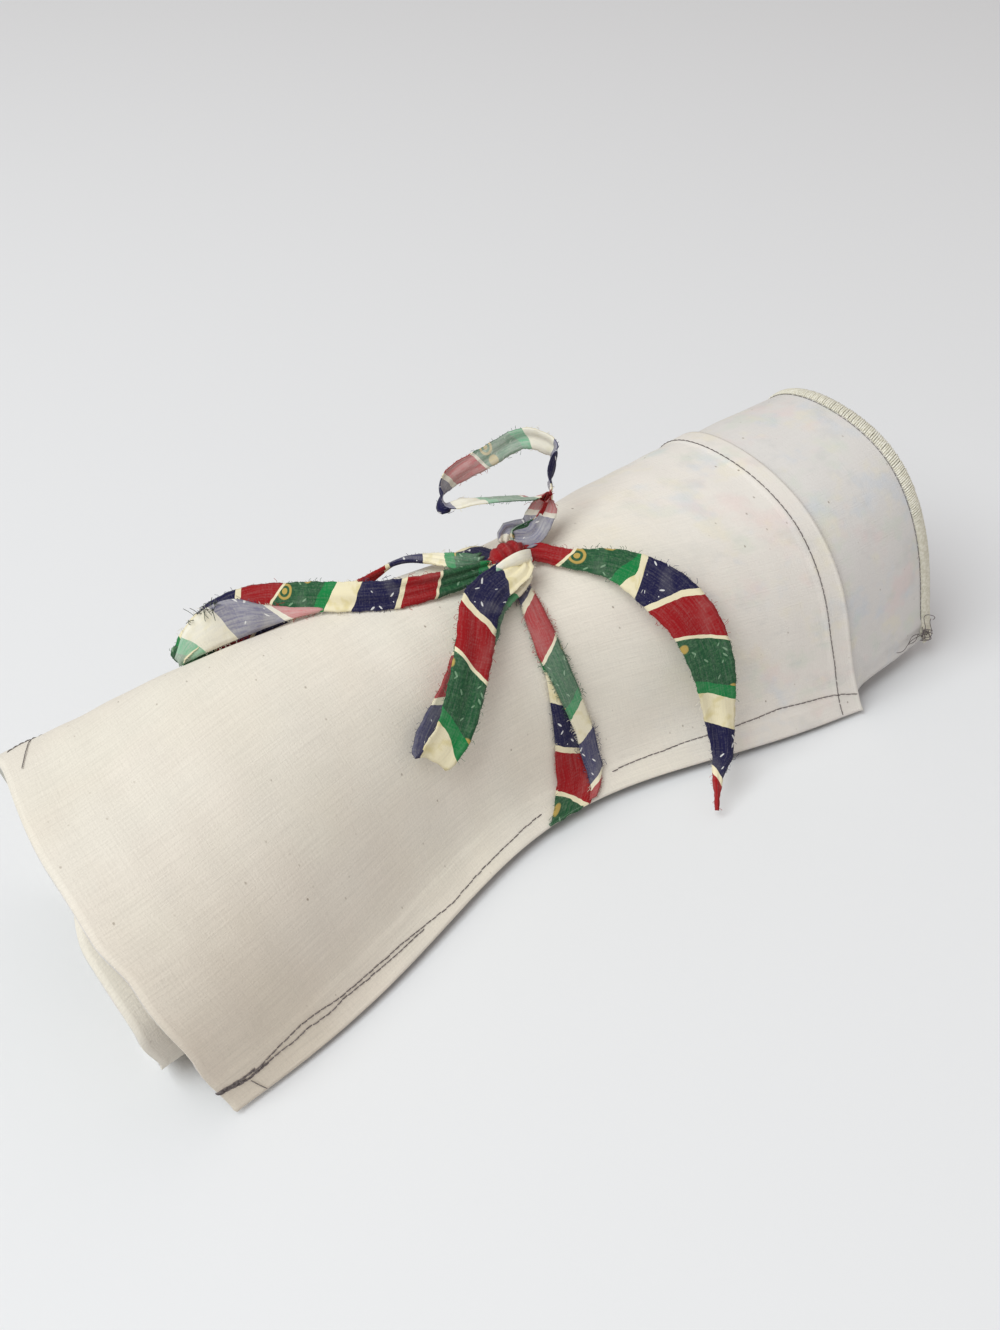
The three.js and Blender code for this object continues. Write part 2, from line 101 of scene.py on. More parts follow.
END_EDGE = [(0, 0), (0.03, 0.8), (0.1, 6.5), (0.155, 11.5), (0.176, 14.8), (0.2, 14.5), (0.27, 5.5),
            (0.36, -1.5), (0.5, -6), (0.58, -2), (0.66, 8), (0.72, 12), (0.78, 16.5), (0.84, 18),
            (0.9, 0), (1, -6)]
END_FADE = 1.5
TIE_X, TIE_CLEAR = 18, 0.5
STRIP_WIDTH = 13
TIE_TURNS_UNDER = 0.66
WAIST_HEM, WAIST_TOP, WAIST_REACH = 29.5, 4, 100
DENT, DENT_X, DENT_REACH = 5, 28, 38
GROOVE, GROOVE_REACH = 1.7, 9.5
KNOT_S, KNOT_X = 0.23, 18
KNOT_LONG, KNOT_ROUND = 15, 5
KNOT_END, KNOT_SIDE, KNOT_LEAD = KNOT_LONG / 2 + 0.3, KNOT_ROUND + 0.3, 3
KNOT_PINCH = 0.5
TAIL_WIDTH, TAIL_TIP = 19, 4
END_PLACE = 0.02


def mix(a, b, k):
    return a + (b - a) * k


def ease(value, start, end):
    k = np.clip((np.asarray(value, float) - start) / (end - start), 0, 1)
    return k * k * (3 - 2 * k)


# Distance along a line of places, from its start to each of them.
def travelled(line):
    return np.concatenate([[0], np.cumsum(np.linalg.norm(np.diff(line, axis=0), axis=1))])


# Control points of one cross-section, from the loose hem up the front, over the top, down
# the back, along the underside and up again as the inner turn.
def section_controls(x):
    along = (x - PANEL_MIN) / (FLAP_END - PANEL_MIN)
    panel = min(max((x - PANEL_MIN) / PANEL_LENGTH, 0), 1)
    waist = exp(-((x - TIE_X) / WAIST_REACH) ** 2)
    dent = exp(-((x - TIE_X - DENT_X) / DENT_REACH) ** 2)
    full = 1 - ease(x, PANEL_MIN, PANEL_MIN + FULL_REACH)
    height = mix(*HEIGHT, along) - WAIST_TOP * waist - DENT * dent

    def front(values):
        return mix(mix(values[0], values[1], along), values[2], full)

    crest = front(CREST_Y)
    back = mix(*BACK_Y, along)
    tuck = FLAP_TUCK * max(0, x - PANEL_MAX) / FLAP_REACH
    hem = HEM_Y + WAIST_HEM * waist * sqrt(4 * panel * (1 - panel)) + tuck
    hem_z = HEM_Z + HEM_LIFT * waist
    floor = GROOVE * exp(-((x - TIE_X) / GROOVE_REACH) ** 8)
    nose = hem + front(NOSE_BACK) - NOSE_WAIST * waist
    low = mix(hem, crest, front(LOW_BACK))
    high = mix(hem, crest, front(HIGH_BACK))
    rear, fore = back - REAR_IN, nose + mix(*TURN_IN, waist)
    points = [
        (hem, hem_z),
        (hem + front(FRONT_BACK), max(hem_z, front(FRONT_RISE) * height)),
        (low, LOW_RISE * height),
        (high, HIGH_RISE * height),
        *((mix(crest, back, share), rise * height) for share, rise in zip(TOP_SHARES, TOP_RISES)),
        *((back + swell, rise * height) for swell, rise in zip(BACK_SWELLS, BACK_RISES)),
        (back - FOOT_IN, floor),
        (rear, floor),
        (mix(rear, fore, 1 / 3), floor),
        (mix(rear, fore, 2 / 3), floor),
        (fore, floor),
        (nose + mix(*CURL_IN, waist), floor),
        (nose - mix(*NOSE_OUT, along), mix(*NOSE_RISE, along) * height + floor),
        (mix(nose, low, INNER_FRONT) + TURN_GAP * INNER_GAPS[0], mix(*INNER_RISE, along) * height),
        (low + TURN_GAP * INNER_GAPS[1][0], LOW_RISE * height - TURN_GAP * INNER_GAPS[1][1]),
        (high + TURN_GAP * INNER_GAPS[2][0], INNER_HIGH * height - TURN_GAP * INNER_GAPS[2][1]),
        *((mix(crest, back, share), rise * height - TURN_GAP)
          for share, rise in zip(INNER_SHARES, INNER_RISES)),
    ]
    return np.array([points[0]] * 2 + points + [points[-1]] * 2)


# How far the uneven pocket end stands out past the panel's length.
def end_reach(s):
    reach = np.zeros_like(s)
    for (start, near), (end, far) in zip(END_EDGE, END_EDGE[1:]):
        here = (s >= start) & (s <= end)
        reach[here] = mix(near, far, ease(s, start, end))[here]
    return reach


# Creases and slack of the cloth: how far it stands out of the smooth form. Folds fan out from
# the tie, and long waves and small puckers cross at odd lengths so that they never line up.
FOLD_HEIGHT, WAVE_HEIGHT, PUCKER_HEIGHT = 0.55, 0.7, 0.18
FOLD_REACH, PULLED_REACH, FAN_SHIFT = 42, 9, 10


def slack(x, s):
    near_tie = np.exp(-((x - TIE_X - FAN_SHIFT * s / KNOT_S) / FOLD_REACH) ** 2)
    pulled = np.exp(-((x - TIE_X) / PULLED_REACH) ** 2)
    fan = np.sin(46 * s + 0.16 * (x - TIE_X) * (s - KNOT_S) * 6 + 0.6)
    shown = ease(s, 0.03, 0.1) * (1 - ease(s, 0.3, 0.4))
    folds = FOLD_HEIGHT * fan * near_tie * (1 - pulled) * shown
    waves = WAVE_HEIGHT * np.sin(0.045 * x + 21 * s) * np.sin(0.031 * x - 13 * s + 1.1)
    small = PUCKER_HEIGHT * np.sin(0.21 * x + 34 * s + 2 * np.sin(0.05 * x)) * np.sin(0.09 * x - 47 * s)
    calm = ease(s, 0.0, 0.06) * (1 - ease(s, 0.33, 0.42))
    return (folds + (waves + small) * calm) * (1 - 0.9 * pulled)


# The front at the pocket end stands a little fuller, and draws in above its hem. Its rim moves
# with it.
FULLNESS, FULL_SPAN = 3.0, (0.08, 0.155, 0.25)
DRAWN_IN, DRAWN_SPAN = 1.6, (0.02, 0.065, 0.11)
FULL_ENDS, FULL_LEAN = (-105, -15), 0.55


def hump(size, value, start, middle, end):
    return size * ease(value, start, middle) * (1 - ease(value, middle, end))


def fullness(x, s):
    full = hump(FULLNESS, s, *FULL_SPAN) - hump(DRAWN_IN, s, *DRAWN_SPAN)
    return full * (1 - ease(x, *FULL_ENDS))


# Places on the cloth at x, s round the spiral from the loose hem, depth mm inside the outer
# face, with the outward directions there.
def cloth(x, s, depth=0.0, loose=True):
    s = np.clip(np.atleast_1d(np.asarray(s, float)), 0, 1)
    depth = np.broadcast_to(np.asarray(depth, float), s.shape)
    controls = section_controls(x)
    spans = len(controls) - 3
    place = np.clip(s * spans, END_PLACE, spans - END_PLACE)
    i = np.floor(place).astype(int)
    f = (place - i)[:, None]
    a, b, c, d = (controls[i + k] for k in range(4))
    at = ((1 - f) ** 3 * a + (3 * f ** 3 - 6 * f ** 2 + 4) * b
          + (-3 * f ** 3 + 3 * f ** 2 + 3 * f + 1) * c + f ** 3 * d) / 6
    run = (-(1 - f) ** 2 * a + (3 * f ** 2 - 4 * f) * b
           + (-3 * f ** 2 + 2 * f + 1) * c + f ** 2 * d) / 2
    run /= np.linalg.norm(run, axis=1)[:, None]
    full = fullness(x, s) * loose
    if loose:
        depth = depth - slack(x, s) - full
    y = at[:, 0] + run[:, 1] * depth
    z = at[:, 1] - run[:, 0] * depth
    along = (x - PANEL_MIN) / (FLAP_END - PANEL_MIN)
    fade = min(max(x / PANEL_MIN, 0), 1) ** END_FADE
    reached = x + mix(*LEAN, along) * z / LEAN_HEIGHT - fade * end_reach(s) - FULL_LEAN * full
    out = np.column_stack([np.zeros_like(y), -run[:, 1], run[:, 0]])
    return np.column_stack([reached, y, z]), out


FINE_PLACES = 700
fine_s = np.linspace(0, 1, FINE_PLACES)


# Length of cloth from the loose hem to each fine place at x.
def cloth_lengths(x):
    points, _ = cloth(x, fine_s, loose=False)
    return travelled(points[:, 1:])


# Shader nodes
class Value:
    """A node's output that takes part in sums; each operation adds its Math node."""

    def __init__(self, finish, socket):
        self.finish, self.socket = finish, socket

    def math(self, operation, other):
        return self.finish.node("ShaderNodeMath", {"operation": operation}, {0: self, 1: other})

    __add__ = partialmethod(math, "ADD")
    __sub__ = partialmethod(math, "SUBTRACT")
    __mul__ = partialmethod(math, "MULTIPLY")
    __truediv__ = partialmethod(math, "DIVIDE")
    __gt__ = partialmethod(math, "GREATER_THAN")
    __lt__ = partialmethod(math, "LESS_THAN")


class Finish:
    """A material and the nodes that make it."""

    def __init__(self, name, roughness=0.9, sheen=0.0):
        self.material = bpy.data.materials.new(name)
        self.material.use_nodes = True
        self.tree = self.material.node_tree
        self.shader = self.tree.nodes["Principled BSDF"]
        for key, value in (("Roughness", roughness), ("Specular IOR Level", 0.2),
                           ("Sheen Weight", sheen), ("Sheen Roughness", 0.5)):
            self.set(key, value)

    def link(self, socket, value):
        if isinstance(value, Value):
            self.tree.links.new(value.socket, socket)
        else:
            socket.default_value = value

    def node(self, kind, settings, inputs, output=0):
        made = self.tree.nodes.new(kind)
        for key, value in settings.items():
            if key == "stops":
                ramp = made.color_ramp
                for k, (at, colour) in enumerate(value):
                    stop = ramp.elements[k] if k < 2 else ramp.elements.new(at)
                    stop.position, stop.color = at, (*colour, 1)
            elif key == "ramp":
                made.color_ramp.interpolation = value
            else:
                setattr(made, key, value)
        for key, value in inputs.items():
            self.link(made.inputs[key], value)
        return Value(self, made.outputs[output])

    def set(self, name, value):
        self.link(self.shader.inputs[name], value)

    def flat(self):
        return self.node("ShaderNodeUVMap", {"uv_map": "cloth"}, {})

    def stretched(self, vector, x, y):
        return self.node("ShaderNodeVectorMath", {"operation": "MULTIPLY"}, {0: vector, 1: (x, y, 1)})

    def moved(self, vector, by):
        return self.node("ShaderNodeVectorMath", {"operation": "ADD"}, {0: vector, 1: by})

    def part(self, vector, axis):
        return self.node("ShaderNodeSeparateXYZ", {}, {0: vector}, axis)

    def noise(self, vector, scale, detail=2.0, roughness=0.5):
        return self.node("ShaderNodeTexNoise", {}, {"Vector": vector, "Scale": scale,
                         "Detail": detail, "Roughness": roughness})

    def cells(self, vector, scale, output="Distance"):
        return self.node("ShaderNodeTexVoronoi", {}, {"Vector": vector, "Scale": scale}, output)

    def between(self, value, low, high, to_low=0.0, to_high=1.0):
        return self.node("ShaderNodeMapRange", {"interpolation_type": "SMOOTHSTEP"},
                         {0: value, 1: low, 2: high, 3: to_low, 4: to_high})

    def blend(self, factor, a, b, kind="MIX"):
        a, b = ((*c, 1) if isinstance(c, tuple) else c for c in (a, b))
        return self.node("ShaderNodeMix", {"data_type": "RGBA", "blend_type": kind},
                         {0: factor, 6: a, 7: b}, 2)

    def bump(self, height, distance, strength):
        return self.node("ShaderNodeBump", {}, {"Height": height, "Distance": distance,
                         "Strength": strength})


def srgb(red, green, blue):
    return tuple((c / 255 / 12.92) if c <= 10 else ((c / 255 + 0.055) / 1.055) ** 2.4
                 for c in (red, green, blue))


# Plain weave: fine threads with thick places both ways, as a height and as a change of tone.
THREADS, WEFT_SLUBS, WARP_SLUBS = 1500, 55, 110


def weave(finish, flat):
    thick_weft = finish.noise(finish.stretched(flat, WEFT_SLUBS, THREADS), 1.0, 4.0, 0.6)
    thick_warp = finish.noise(finish.stretched(flat, THREADS, WARP_SLUBS), 1.0, 4.0, 0.6)
    grain = finish.noise(flat, THREADS, 2.0, 0.6)
    height = thick_weft * 1.3 + thick_warp + grain * 0.9
    return height, thick_weft * 0.55 + thick_warp * 0.25 + grain * 0.35


# Tones that drift over the calico, and the faint print that shows through at the flap end: where
# each pattern starts, its scale, its tint and its strength
CLOUDS = [((0.3, 0.1, 0), 13, (0.95, 0.93, 0.9), 0.5), ((4.1, 2.6, 0), 24, (0.985, 1.0, 0.975), 0.4),
          ((9.4, 6.2, 0), 31, (1.01, 0.985, 0.975), 0.4)]
SPOTS = [((3.1, 0.4, 0), 46, (0.5, 0.6, 0.72), 0.3), ((7.7, 2.2, 0), 38, (0.8, 0.56, 0.54), 0.26),
         ((1.3, 9.2, 0), 55, (0.82, 0.74, 0.46), 0.22), ((5.9, 5.1, 0), 62, (0.5, 0.51, 0.5), 0.22),
         ((8.2, 7.4, 0), 50, (0.55, 0.66, 0.52), 0.22)]
THREAD_DARK, THREAD_LIGHT = 0.93, 1.035
# Painted shade low on the front at the pocket end: where it fades out along the cloth and up from the hem,
# and its darker brown tint
PAINTED_SHADE_ENDS, PAINTED_SHADE_HEIGHTS, PAINTED_SHADE_TONE = (-0.13, -0.03), (0.02, 0.1), (0.93, 0.895, 0.87)
HUSKS, HUSK_TONE = 230, (0.2, 0.15, 0.1)
CALICO_BUMP, PRINT_BUMP = 0.00016, 0.00012


def calico_finish(name, tone, print_from=None, blue=1.03):
    finish = Finish(name, 0.92, 0.12)
    flat = finish.flat()
    height, slubs = weave(finish, flat)
    dark, light = (tuple(c * share for c in tone) for share in (THREAD_DARK, THREAD_LIGHT))
    colour = finish.blend(finish.between(slubs, 0.42, 0.72), dark, light)
    for offset, scale, tint, share in CLOUDS:
        cloud = finish.between(finish.noise(finish.moved(flat, offset), scale, 3.0), 0.4, 0.65)
        colour = finish.blend(cloud * share, colour, finish.blend(1.0, colour, tint, "MULTIPLY"))
    if print_from is not None:
        here = finish.between(finish.part(flat, 0), *print_from)
        grey = tuple(c * k for c, k in zip(tone, (0.95, 0.96, blue)))
        colour = finish.blend(here * 0.7, colour, grey)
        for offset, scale, tint, share in SPOTS:
            spot = finish.between(finish.noise(finish.moved(flat, offset), scale, 3.5, 0.62), 0.52, 0.68)
            colour = finish.blend(spot * here * share, colour, tint)
    # painted shade: a little darker and browner low on the front at the pocket end, where that side falls
    # in shade
    low = (finish.between(finish.part(flat, 0), *PAINTED_SHADE_ENDS, 1.0, 0.0)
           * finish.between(finish.part(flat, 1), *PAINTED_SHADE_HEIGHTS, 1.0, 0.0))
    colour = finish.blend(low, colour, finish.blend(1.0, colour, PAINTED_SHADE_TONE, "MULTIPLY"))
    # seed husks left in the unbleached cotton
    sown = finish.stretched(flat, 1, 0.7)
    husks = finish.between(finish.cells(sown, HUSKS), 0.04, 0.11, 1.0, 0.0)
    kind = finish.cells(sown, HUSKS, "Color")
    husks = husks * (finish.part(kind, 0) > 0.55) * finish.part(kind, 1)
    colour = finish.blend(husks * 0.75, colour, HUSK_TONE)
    finish.set("Base Color", colour)
    finish.set("Normal", finish.bump(height, CALICO_BUMP, 0.75))
    return finish.material


# Print on the tie: slanting stripes, with dashes on the blue and the green and rings on the green.
RED, GREEN, LEAF = srgb(150, 18, 24), srgb(32, 80, 50), srgb(16, 122, 62)
NAVY, CREAM, GOLD = srgb(24, 23, 64), srgb(232, 222, 188), srgb(196, 164, 84)
MOTTLED, WHITE_DASH, GREEN_DASH = srgb(70, 116, 76), srgb(222, 222, 220), srgb(150, 184, 150)
STAINED, FADED = srgb(206, 190, 118), srgb(214, 212, 206)
RUBBED, WORN = (0.5, 0.48, 0.44), (0.7, 0.68, 0.62)
STRIPES = [(0, NAVY), (0.25, CREAM), (0.285, RED), (0.495, CREAM), (0.515, GREEN), (0.765, LEAF),
           (0.835, CREAM)]
NAVY_SPAN, GREEN_SPAN, CREAM_SPAN = (0.02, 0.235), (0.515, 0.765), (0.835, 1.0)
PRINT_REPEAT, PRINT_SLANT, PRINT_WANDER = 78, 0.6, 0.0025
DASH_TURNS = [(0.6, (0.31, 0.17, 0)), (-0.7, (0.52, 0.43, 0))]
DASHES, RINGS, RINGS_FROM = 150, 95, (0.7, 0.2, 0)


def print_finish(name, faded=1.0, pale=0.0):
    finish = Finish(name, 0.9, 0.05)
    flat = finish.flat()
    wander = finish.noise(flat, 130, 2.0)
    run = (finish.part(flat, 0) + finish.part(flat, 1) * PRINT_SLANT
           + wander * PRINT_WANDER - PRINT_WANDER / 2)
    phase = finish.node("ShaderNodeMath", {"operation": "FRACT"}, {0: run / (PRINT_REPEAT * MM)})
    colour = finish.node("ShaderNodeValToRGB", {"stops": STRIPES, "ramp": "CONSTANT"}, {0: phase})
    on_navy, on_green, on_cream = ((phase > start) * (phase < end)
                                   for start, end in (NAVY_SPAN, GREEN_SPAN, CREAM_SPAN))
    mottle = finish.between(finish.noise(flat, 700, 3.0, 0.65), 0.47, 0.6)
    colour = finish.blend(mottle * on_green * 0.45, colour, MOTTLED)
    for angle, offset in DASH_TURNS:
        turned = finish.node("ShaderNodeVectorRotate", {"rotation_type": "Z_AXIS"},
                             {"Vector": finish.moved(flat, offset), "Angle": angle})
        dash = finish.stretched(turned, 1, 3.2)
        chosen = finish.part(finish.cells(dash, DASHES, "Color"), 0) > 0.45
        mark = (finish.cells(dash, DASHES) < 0.17) * chosen
        colour = finish.blend(mark * on_navy * 0.9, colour, WHITE_DASH)
        colour = finish.blend(mark * on_green * 0.55, colour, GREEN_DASH)
    spread = finish.cells(finish.moved(flat, RINGS_FROM), RINGS)
    ring = finish.between(spread, 0.2, 0.24) * finish.between(spread, 0.3, 0.34, 1.0, 0.0)
    colour = finish.blend((ring + (spread < 0.12)) * on_green * 0.85, colour, GOLD)
    stain = finish.between(finish.noise(flat, 170, 2.0), 0.5, 0.68)
    colour = finish.blend(stain * on_cream * 0.5, colour, STAINED)
    height, slubs = weave(finish, flat)
    colour = finish.blend(finish.between(slubs, 0.5, 0.8) * 0.16, colour, RUBBED)
    wear = finish.between(finish.noise(flat, 90, 3.0), 0.5, 0.75)
    colour = finish.blend(wear * 0.06, colour, WORN)
    if pale:
        colour = finish.node("ShaderNodeGamma", {}, {"Color": colour, "Gamma": faded})
        streak = finish.between(finish.noise(finish.stretched(flat, 160, THREADS), 1.0, 3.0), 0.35, 0.65)
        colour = finish.blend(streak * pale + pale, colour, FADED)
    finish.set("Base Color", colour)
    finish.set("Normal", finish.bump(height, PRINT_BUMP, 0.7))
    return finish.material


# Which of the strip's threads has the colour of the print at that place.
def stripe_number(u, v):
    phase = (u + PRINT_SLANT * v) / PRINT_REPEAT % 1
    colour = [c for at, c in STRIPES if at <= phase][-1]
    return 0 if colour is RED else 2 if colour is NAVY else 3 if colour is CREAM else 1


def thread_finish(name, tone, streak):
    finish = Finish(name, 0.85, 0.1)
    place = finish.node("ShaderNodeTexCoord", {}, {}, "Object")
    colour = finish.blend(finish.between(finish.noise(place, 900, 2.0), 0.35, 0.65), tone, streak)
    finish.set("Base Color", colour)
    finish.set("Normal", finish.bump(finish.noise(place, 4000, 2.0), 0.0001, 0.5))
    return finish.material


CALICO_TONE, LINING_TONE = (0.805, 0.757, 0.668), (0.735, 0.705, 0.668)
calico = calico_finish("calico", CALICO_TONE, (0.045, 0.13))
calico_inside = calico_finish("calico_inside", tuple(c * 0.95 for c in CALICO_TONE))
lining_print = calico_finish("lining_print", LINING_TONE, (-0.5, -0.4), 0.98)
print_right = print_finish("print_right")
print_wrong = print_finish("print_wrong", 0.8, 0.05)
print_faded = print_finish("print_faded", 0.52, 0.22)
grey_thread, dark_thread, cream_thread, *strip_threads = (
    thread_finish(name + "_thread", srgb(*tone), srgb(*streak)) for name, tone, streak in (
        ("grey", (92, 84, 84), (126, 118, 116)), ("dark", (52, 58, 50), (92, 98, 84)),
        ("cream", (216, 212, 194), (234, 231, 218)), ("red", (150, 26, 30), (180, 84, 80)),
        ("green", (40, 80, 54), (96, 124, 100)), ("navy", (34, 34, 70), (96, 98, 124)),
        ("pale", (216, 208, 186), (230, 226, 212))))


# Meshes
def add_object(name, data, body):
    piece = placed(name, data)
    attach(piece, body)
    return piece


def mesh_from(bm, name, finishes):
    mesh = bpy.data.meshes.new(name)
    bm.to_mesh(mesh)
    bm.free()
    for finish in finishes:
        mesh.materials.append(finish)
    return mesh


# Sheet of cloth from a grid of places in mm, faces towards the side that the grid's two
# directions make, and given its thickness behind that side.
def cloth_piece(name, points, lengths, thickness, finishes, body="roll", offset=-1.0, turned=False):
    columns, rows = points.shape[0] - 1, points.shape[1] - 1
    bm = bmesh.new()
    bmesh.ops.create_grid(bm, x_segments=columns, y_segments=rows, size=0.5)
    flat = bm.loops.layers.uv.new("cloth")
    spots = [(round((v.co.x + 0.5) * columns), round((v.co.y + 0.5) * rows)) for v in bm.verts]
    for vert, (i, j) in zip(bm.verts, spots):
        vert.co = points[i, j] * MM
    bm.verts.index_update()
    for face in bm.faces:
        face.smooth = True
        for loop in face.loops:
            loop[flat].uv = lengths[spots[loop.vert.index]] * MM
    if turned:
        bmesh.ops.reverse_faces(bm, faces=bm.faces[:])
    piece = add_object(name, mesh_from(bm, name, finishes), body)
    thick = piece.modifiers.new("thickness", "SOLIDIFY")
    thick.thickness = thickness * MM
    thick.offset = offset
    if len(finishes) > 1:
        thick.material_offset = 1
    return piece


# Strip of the tie from rows of places and where they are on the print.
def strip_piece(name, grid, flats, thickness, finishes, body="roll", offset=-1.0, turned=True):
    grid, flats = np.array(grid), np.array(flats)
    return cloth_piece(name, grid, flats, thickness, finishes, body, offset, turned), grid, flats


# Threads as one curve object: each is a list of places in mm with its finish's number.
def thread_piece(name, threads, radius, finishes, body="roll", sides=1):
    curve = bpy.data.curves.new(name, "CURVE")
    curve.dimensions = "3D"
    curve.bevel_depth = radius * MM
    curve.bevel_resolution = sides
    curve.use_fill_caps = True
    for finish in finishes:
        curve.materials.append(finish)
    for points, number in threads:
        line = curve.splines.new("POLY")
        line.points.add(len(points) - 1)
        for knot, at in zip(line.points, points):
            knot.co = (*(np.asarray(at) * MM), 1)
        line.material_index = number
        line.use_smooth = True
    return add_object(name, curve, body)


def unit(way):
    return way / max(np.linalg.norm(way), 1e-9)


# Loose threads along the two torn edges of a strip, in the colours of the print there.
FRAY_MARGIN, FRAY_SHORT, FRAY_ROOT, FRAY_RADIUS = 0.3, 0.35, 0.7, 0.08


def frayed(name, grid, flats, body, seed, longest=1.6, pitch=1.3):
    chance = np.random.default_rng(seed)
    threads = []
    for edge, inner in ((0, 1), (-1, -2)):
        line, inside = grid[:, edge], grid[:, inner]
        travel = travelled(line)
        at = FRAY_MARGIN
        while at < travel[-1] - FRAY_MARGIN:
            i = min(int(np.interp(at, travel, np.arange(len(line)))), len(line) - 2)
            base = mix(line[i], line[i + 1], (at - travel[i]) / max(travel[i + 1] - travel[i], 1e-6))
            outward, along = unit(line[i] - inside[i]), unit(line[i + 1] - line[i])
            lift = np.cross(outward, along)
            size = FRAY_SHORT + longest * chance.random() ** 3.5
            sway, rise = chance.normal(0, 0.6), chance.normal(0, 0.35)
            middle = (outward + along * sway * 0.4 + lift * rise * 0.3) * size * 0.5
            tip = (outward * 0.85 + along * sway + lift * rise) * size
            threads.append(([base - outward * FRAY_ROOT, base + middle, base + tip],
                            stripe_number(*flats[i, edge])))
            at += pitch * chance.uniform(0.4, 1.6)
    return thread_piece(name, threads, FRAY_RADIUS, strip_threads, body, 0)


length_tables = {}


# Place at x and a length from the hem, depth mm inside the outer face as it stands there.
def on_cloth(x, length, depth):
    key = round(x)
    if key not in length_tables:
        length_tables[key] = cloth_lengths(key)
    s = np.interp(length, length_tables[key], fine_s)
    return cloth(x, [s], depth - hem_relief(x, length))[0][0]


# Sewing along the cloth: x and length from the hem at each stop of the line. A stitch comes up
# out of the cloth and goes down into it again.
STITCH_ARC = ((0, -0.3), (0.1, 0.1), (0.5, 0.24), (0.9, 0.1), (1, -0.3))
STITCH_SHARE = 0.95


def stitches(name, lines, seed, depth=0.0, pitch=2.6, radius=0.2):
    chance = np.random.default_rng(seed)
    threads = []
    for stops in lines:
        stops = np.array(stops, float)
        travel = travelled(stops)
        at = 0.0
        while at < travel[-1] - pitch * 0.6:
            step = pitch * chance.uniform(0.88, 1.12)
            aside = chance.normal(0, 0.09)
            points = []
            for share, lift in STITCH_ARC:
                place = at + STITCH_SHARE * share * step
                x, length = (np.interp(place, travel, stops[:, n]) for n in (0, 1))
                points.append(on_cloth(x, length + aside, depth - lift))
            threads.append((points, 0))
            at += step
    return thread_piece(name, threads, radius, [grey_thread])


# Turned hems stand out a little: along the loose edge, and as a band at the panel's end.
HEM_WIDTHS, HEM_NARROWS = (13.5, 9.5), (-40, 60)
HEM_RISE, HEM_LIP, HEM_STEP = 0.4, (-1.2, 0.6), (0.3, 0.5)
BAND_STEP, PAST_PANEL = (10.2, 9.4), PANEL_MAX + 0.1


def hem_relief(x, length):
    if x > PAST_PANEL:
        return np.zeros_like(length, float)
    width = mix(*HEM_WIDTHS, ease(x, *HEM_NARROWS))
    flat = ease(length, width - HEM_STEP[0], width + HEM_STEP[1])
    fold = HEM_RISE * (1 - flat) * ease(length, *HEM_LIP)
    return np.maximum(fold, HEM_RISE * ease(x, PANEL_MAX - BAND_STEP[0], PANEL_MAX - BAND_STEP[1]))


# Sheet along the roll: rows_at gives its lengths from the hem at x, and depth_at how deep it lies.
def rolled_piece(name, columns, rows_at, depth_at, thickness, finishes):
    points, lengths = [], []
    for x in columns:
        table = cloth_lengths(x)
        rows = rows_at(x, table)
        points.append(cloth(x, np.interp(rows, table, fine_s), depth_at(x, rows))[0])
        lengths.append(np.column_stack([np.full_like(rows, x), rows]))
    return cloth_piece(name, np.array(points), np.array(lengths), thickness, finishes)


def columns_between(start, middle, end, coarse, fine):
    return np.unique(np.concatenate([np.linspace(start, middle, coarse), np.linspace(middle, end, fine)]))


HEM_ZONE, BAND_ZONE = 15, 11


def outer_panel():
    near, far = np.linspace(0, HEM_ZONE, 16), np.linspace(0, 1, 170)[1:]
    columns = columns_between(PANEL_MIN, PANEL_MAX - BAND_ZONE, PANEL_MAX, 140, 14)
    return rolled_piece("outer_cloth", columns,
                        lambda x, table: np.concatenate([near, mix(HEM_ZONE, table[-1], far)]),
                        lambda x, rows: -hem_relief(x, rows), CLOTH, [calico, calico_inside])


# Crease across the flap's lower corner: the cloth under it turns in.
CREASE_X, CREASE_AT, CREASE_DEPTH, CREASE_REACH = (151, 168, 190), (16.6, 18, 18.5), 1.6, 8
FLAP_DROP, FLAP_DROPS_OVER = 6, 4
LINING_ZONE, LINING_ENDS, FLAP_PAST = 24, 0.97, 4.6


def lining_panel():
    near, far = np.linspace(0, 1, 12)[:-1], np.linspace(0, 1, 155)

    def rows_at(x, table):
        first = LINING_INSET - FLAP_DROP * ease(x, PANEL_MAX - FLAP_DROPS_OVER, PANEL_MAX)
        return np.concatenate([mix(first, LINING_ZONE, near),
                               mix(LINING_ZONE, table[-1] * LINING_ENDS, far)])

    def depth_at(x, rows):
        crease = np.interp(x, CREASE_X, CREASE_AT)
        turned_in = CREASE_DEPTH * (1 - ease(rows, crease - CREASE_REACH, crease))
        return LINING_DEPTH + turned_in * ease(x, PANEL_MAX, PANEL_MAX + CREASE_REACH)

    columns = columns_between(PANEL_MIN, PANEL_MAX, FLAP_END + FLAP_PAST, 110, 34)
    return rolled_piece("lining_cloth", columns, rows_at, depth_at, LINING, [lining_print])


# Panel inside that is sewn down between the needle pockets and stands open at its mouth.
POCKET_ROWS = 14


def pocket_panel():
    def rows_at(x, table):
        ends = np.interp(POCKET_STRETCHES, fine_s, table)
        return np.concatenate([np.linspace(a, b, STRETCH_POCKETS * POCKET_ROWS + 1)[k > 0:]
                               for k, (a, b) in enumerate(zip(ends, ends[1:]))])

    def depth_at(x, rows):
        swing = np.sin(np.pi * np.arange(len(rows)) / POCKET_ROWS) ** 2
        return POCKET_DEPTH + POCKET_BULGE * ease(x, POCKET_FROM, POCKET_FROM + POCKET_CLOSE) * swing

    columns = np.linspace(POCKET_FROM, POCKET_MOUTH, 90)
    return rolled_piece("pocket_cloth", columns, rows_at, depth_at, CLOTH, [calico_inside])


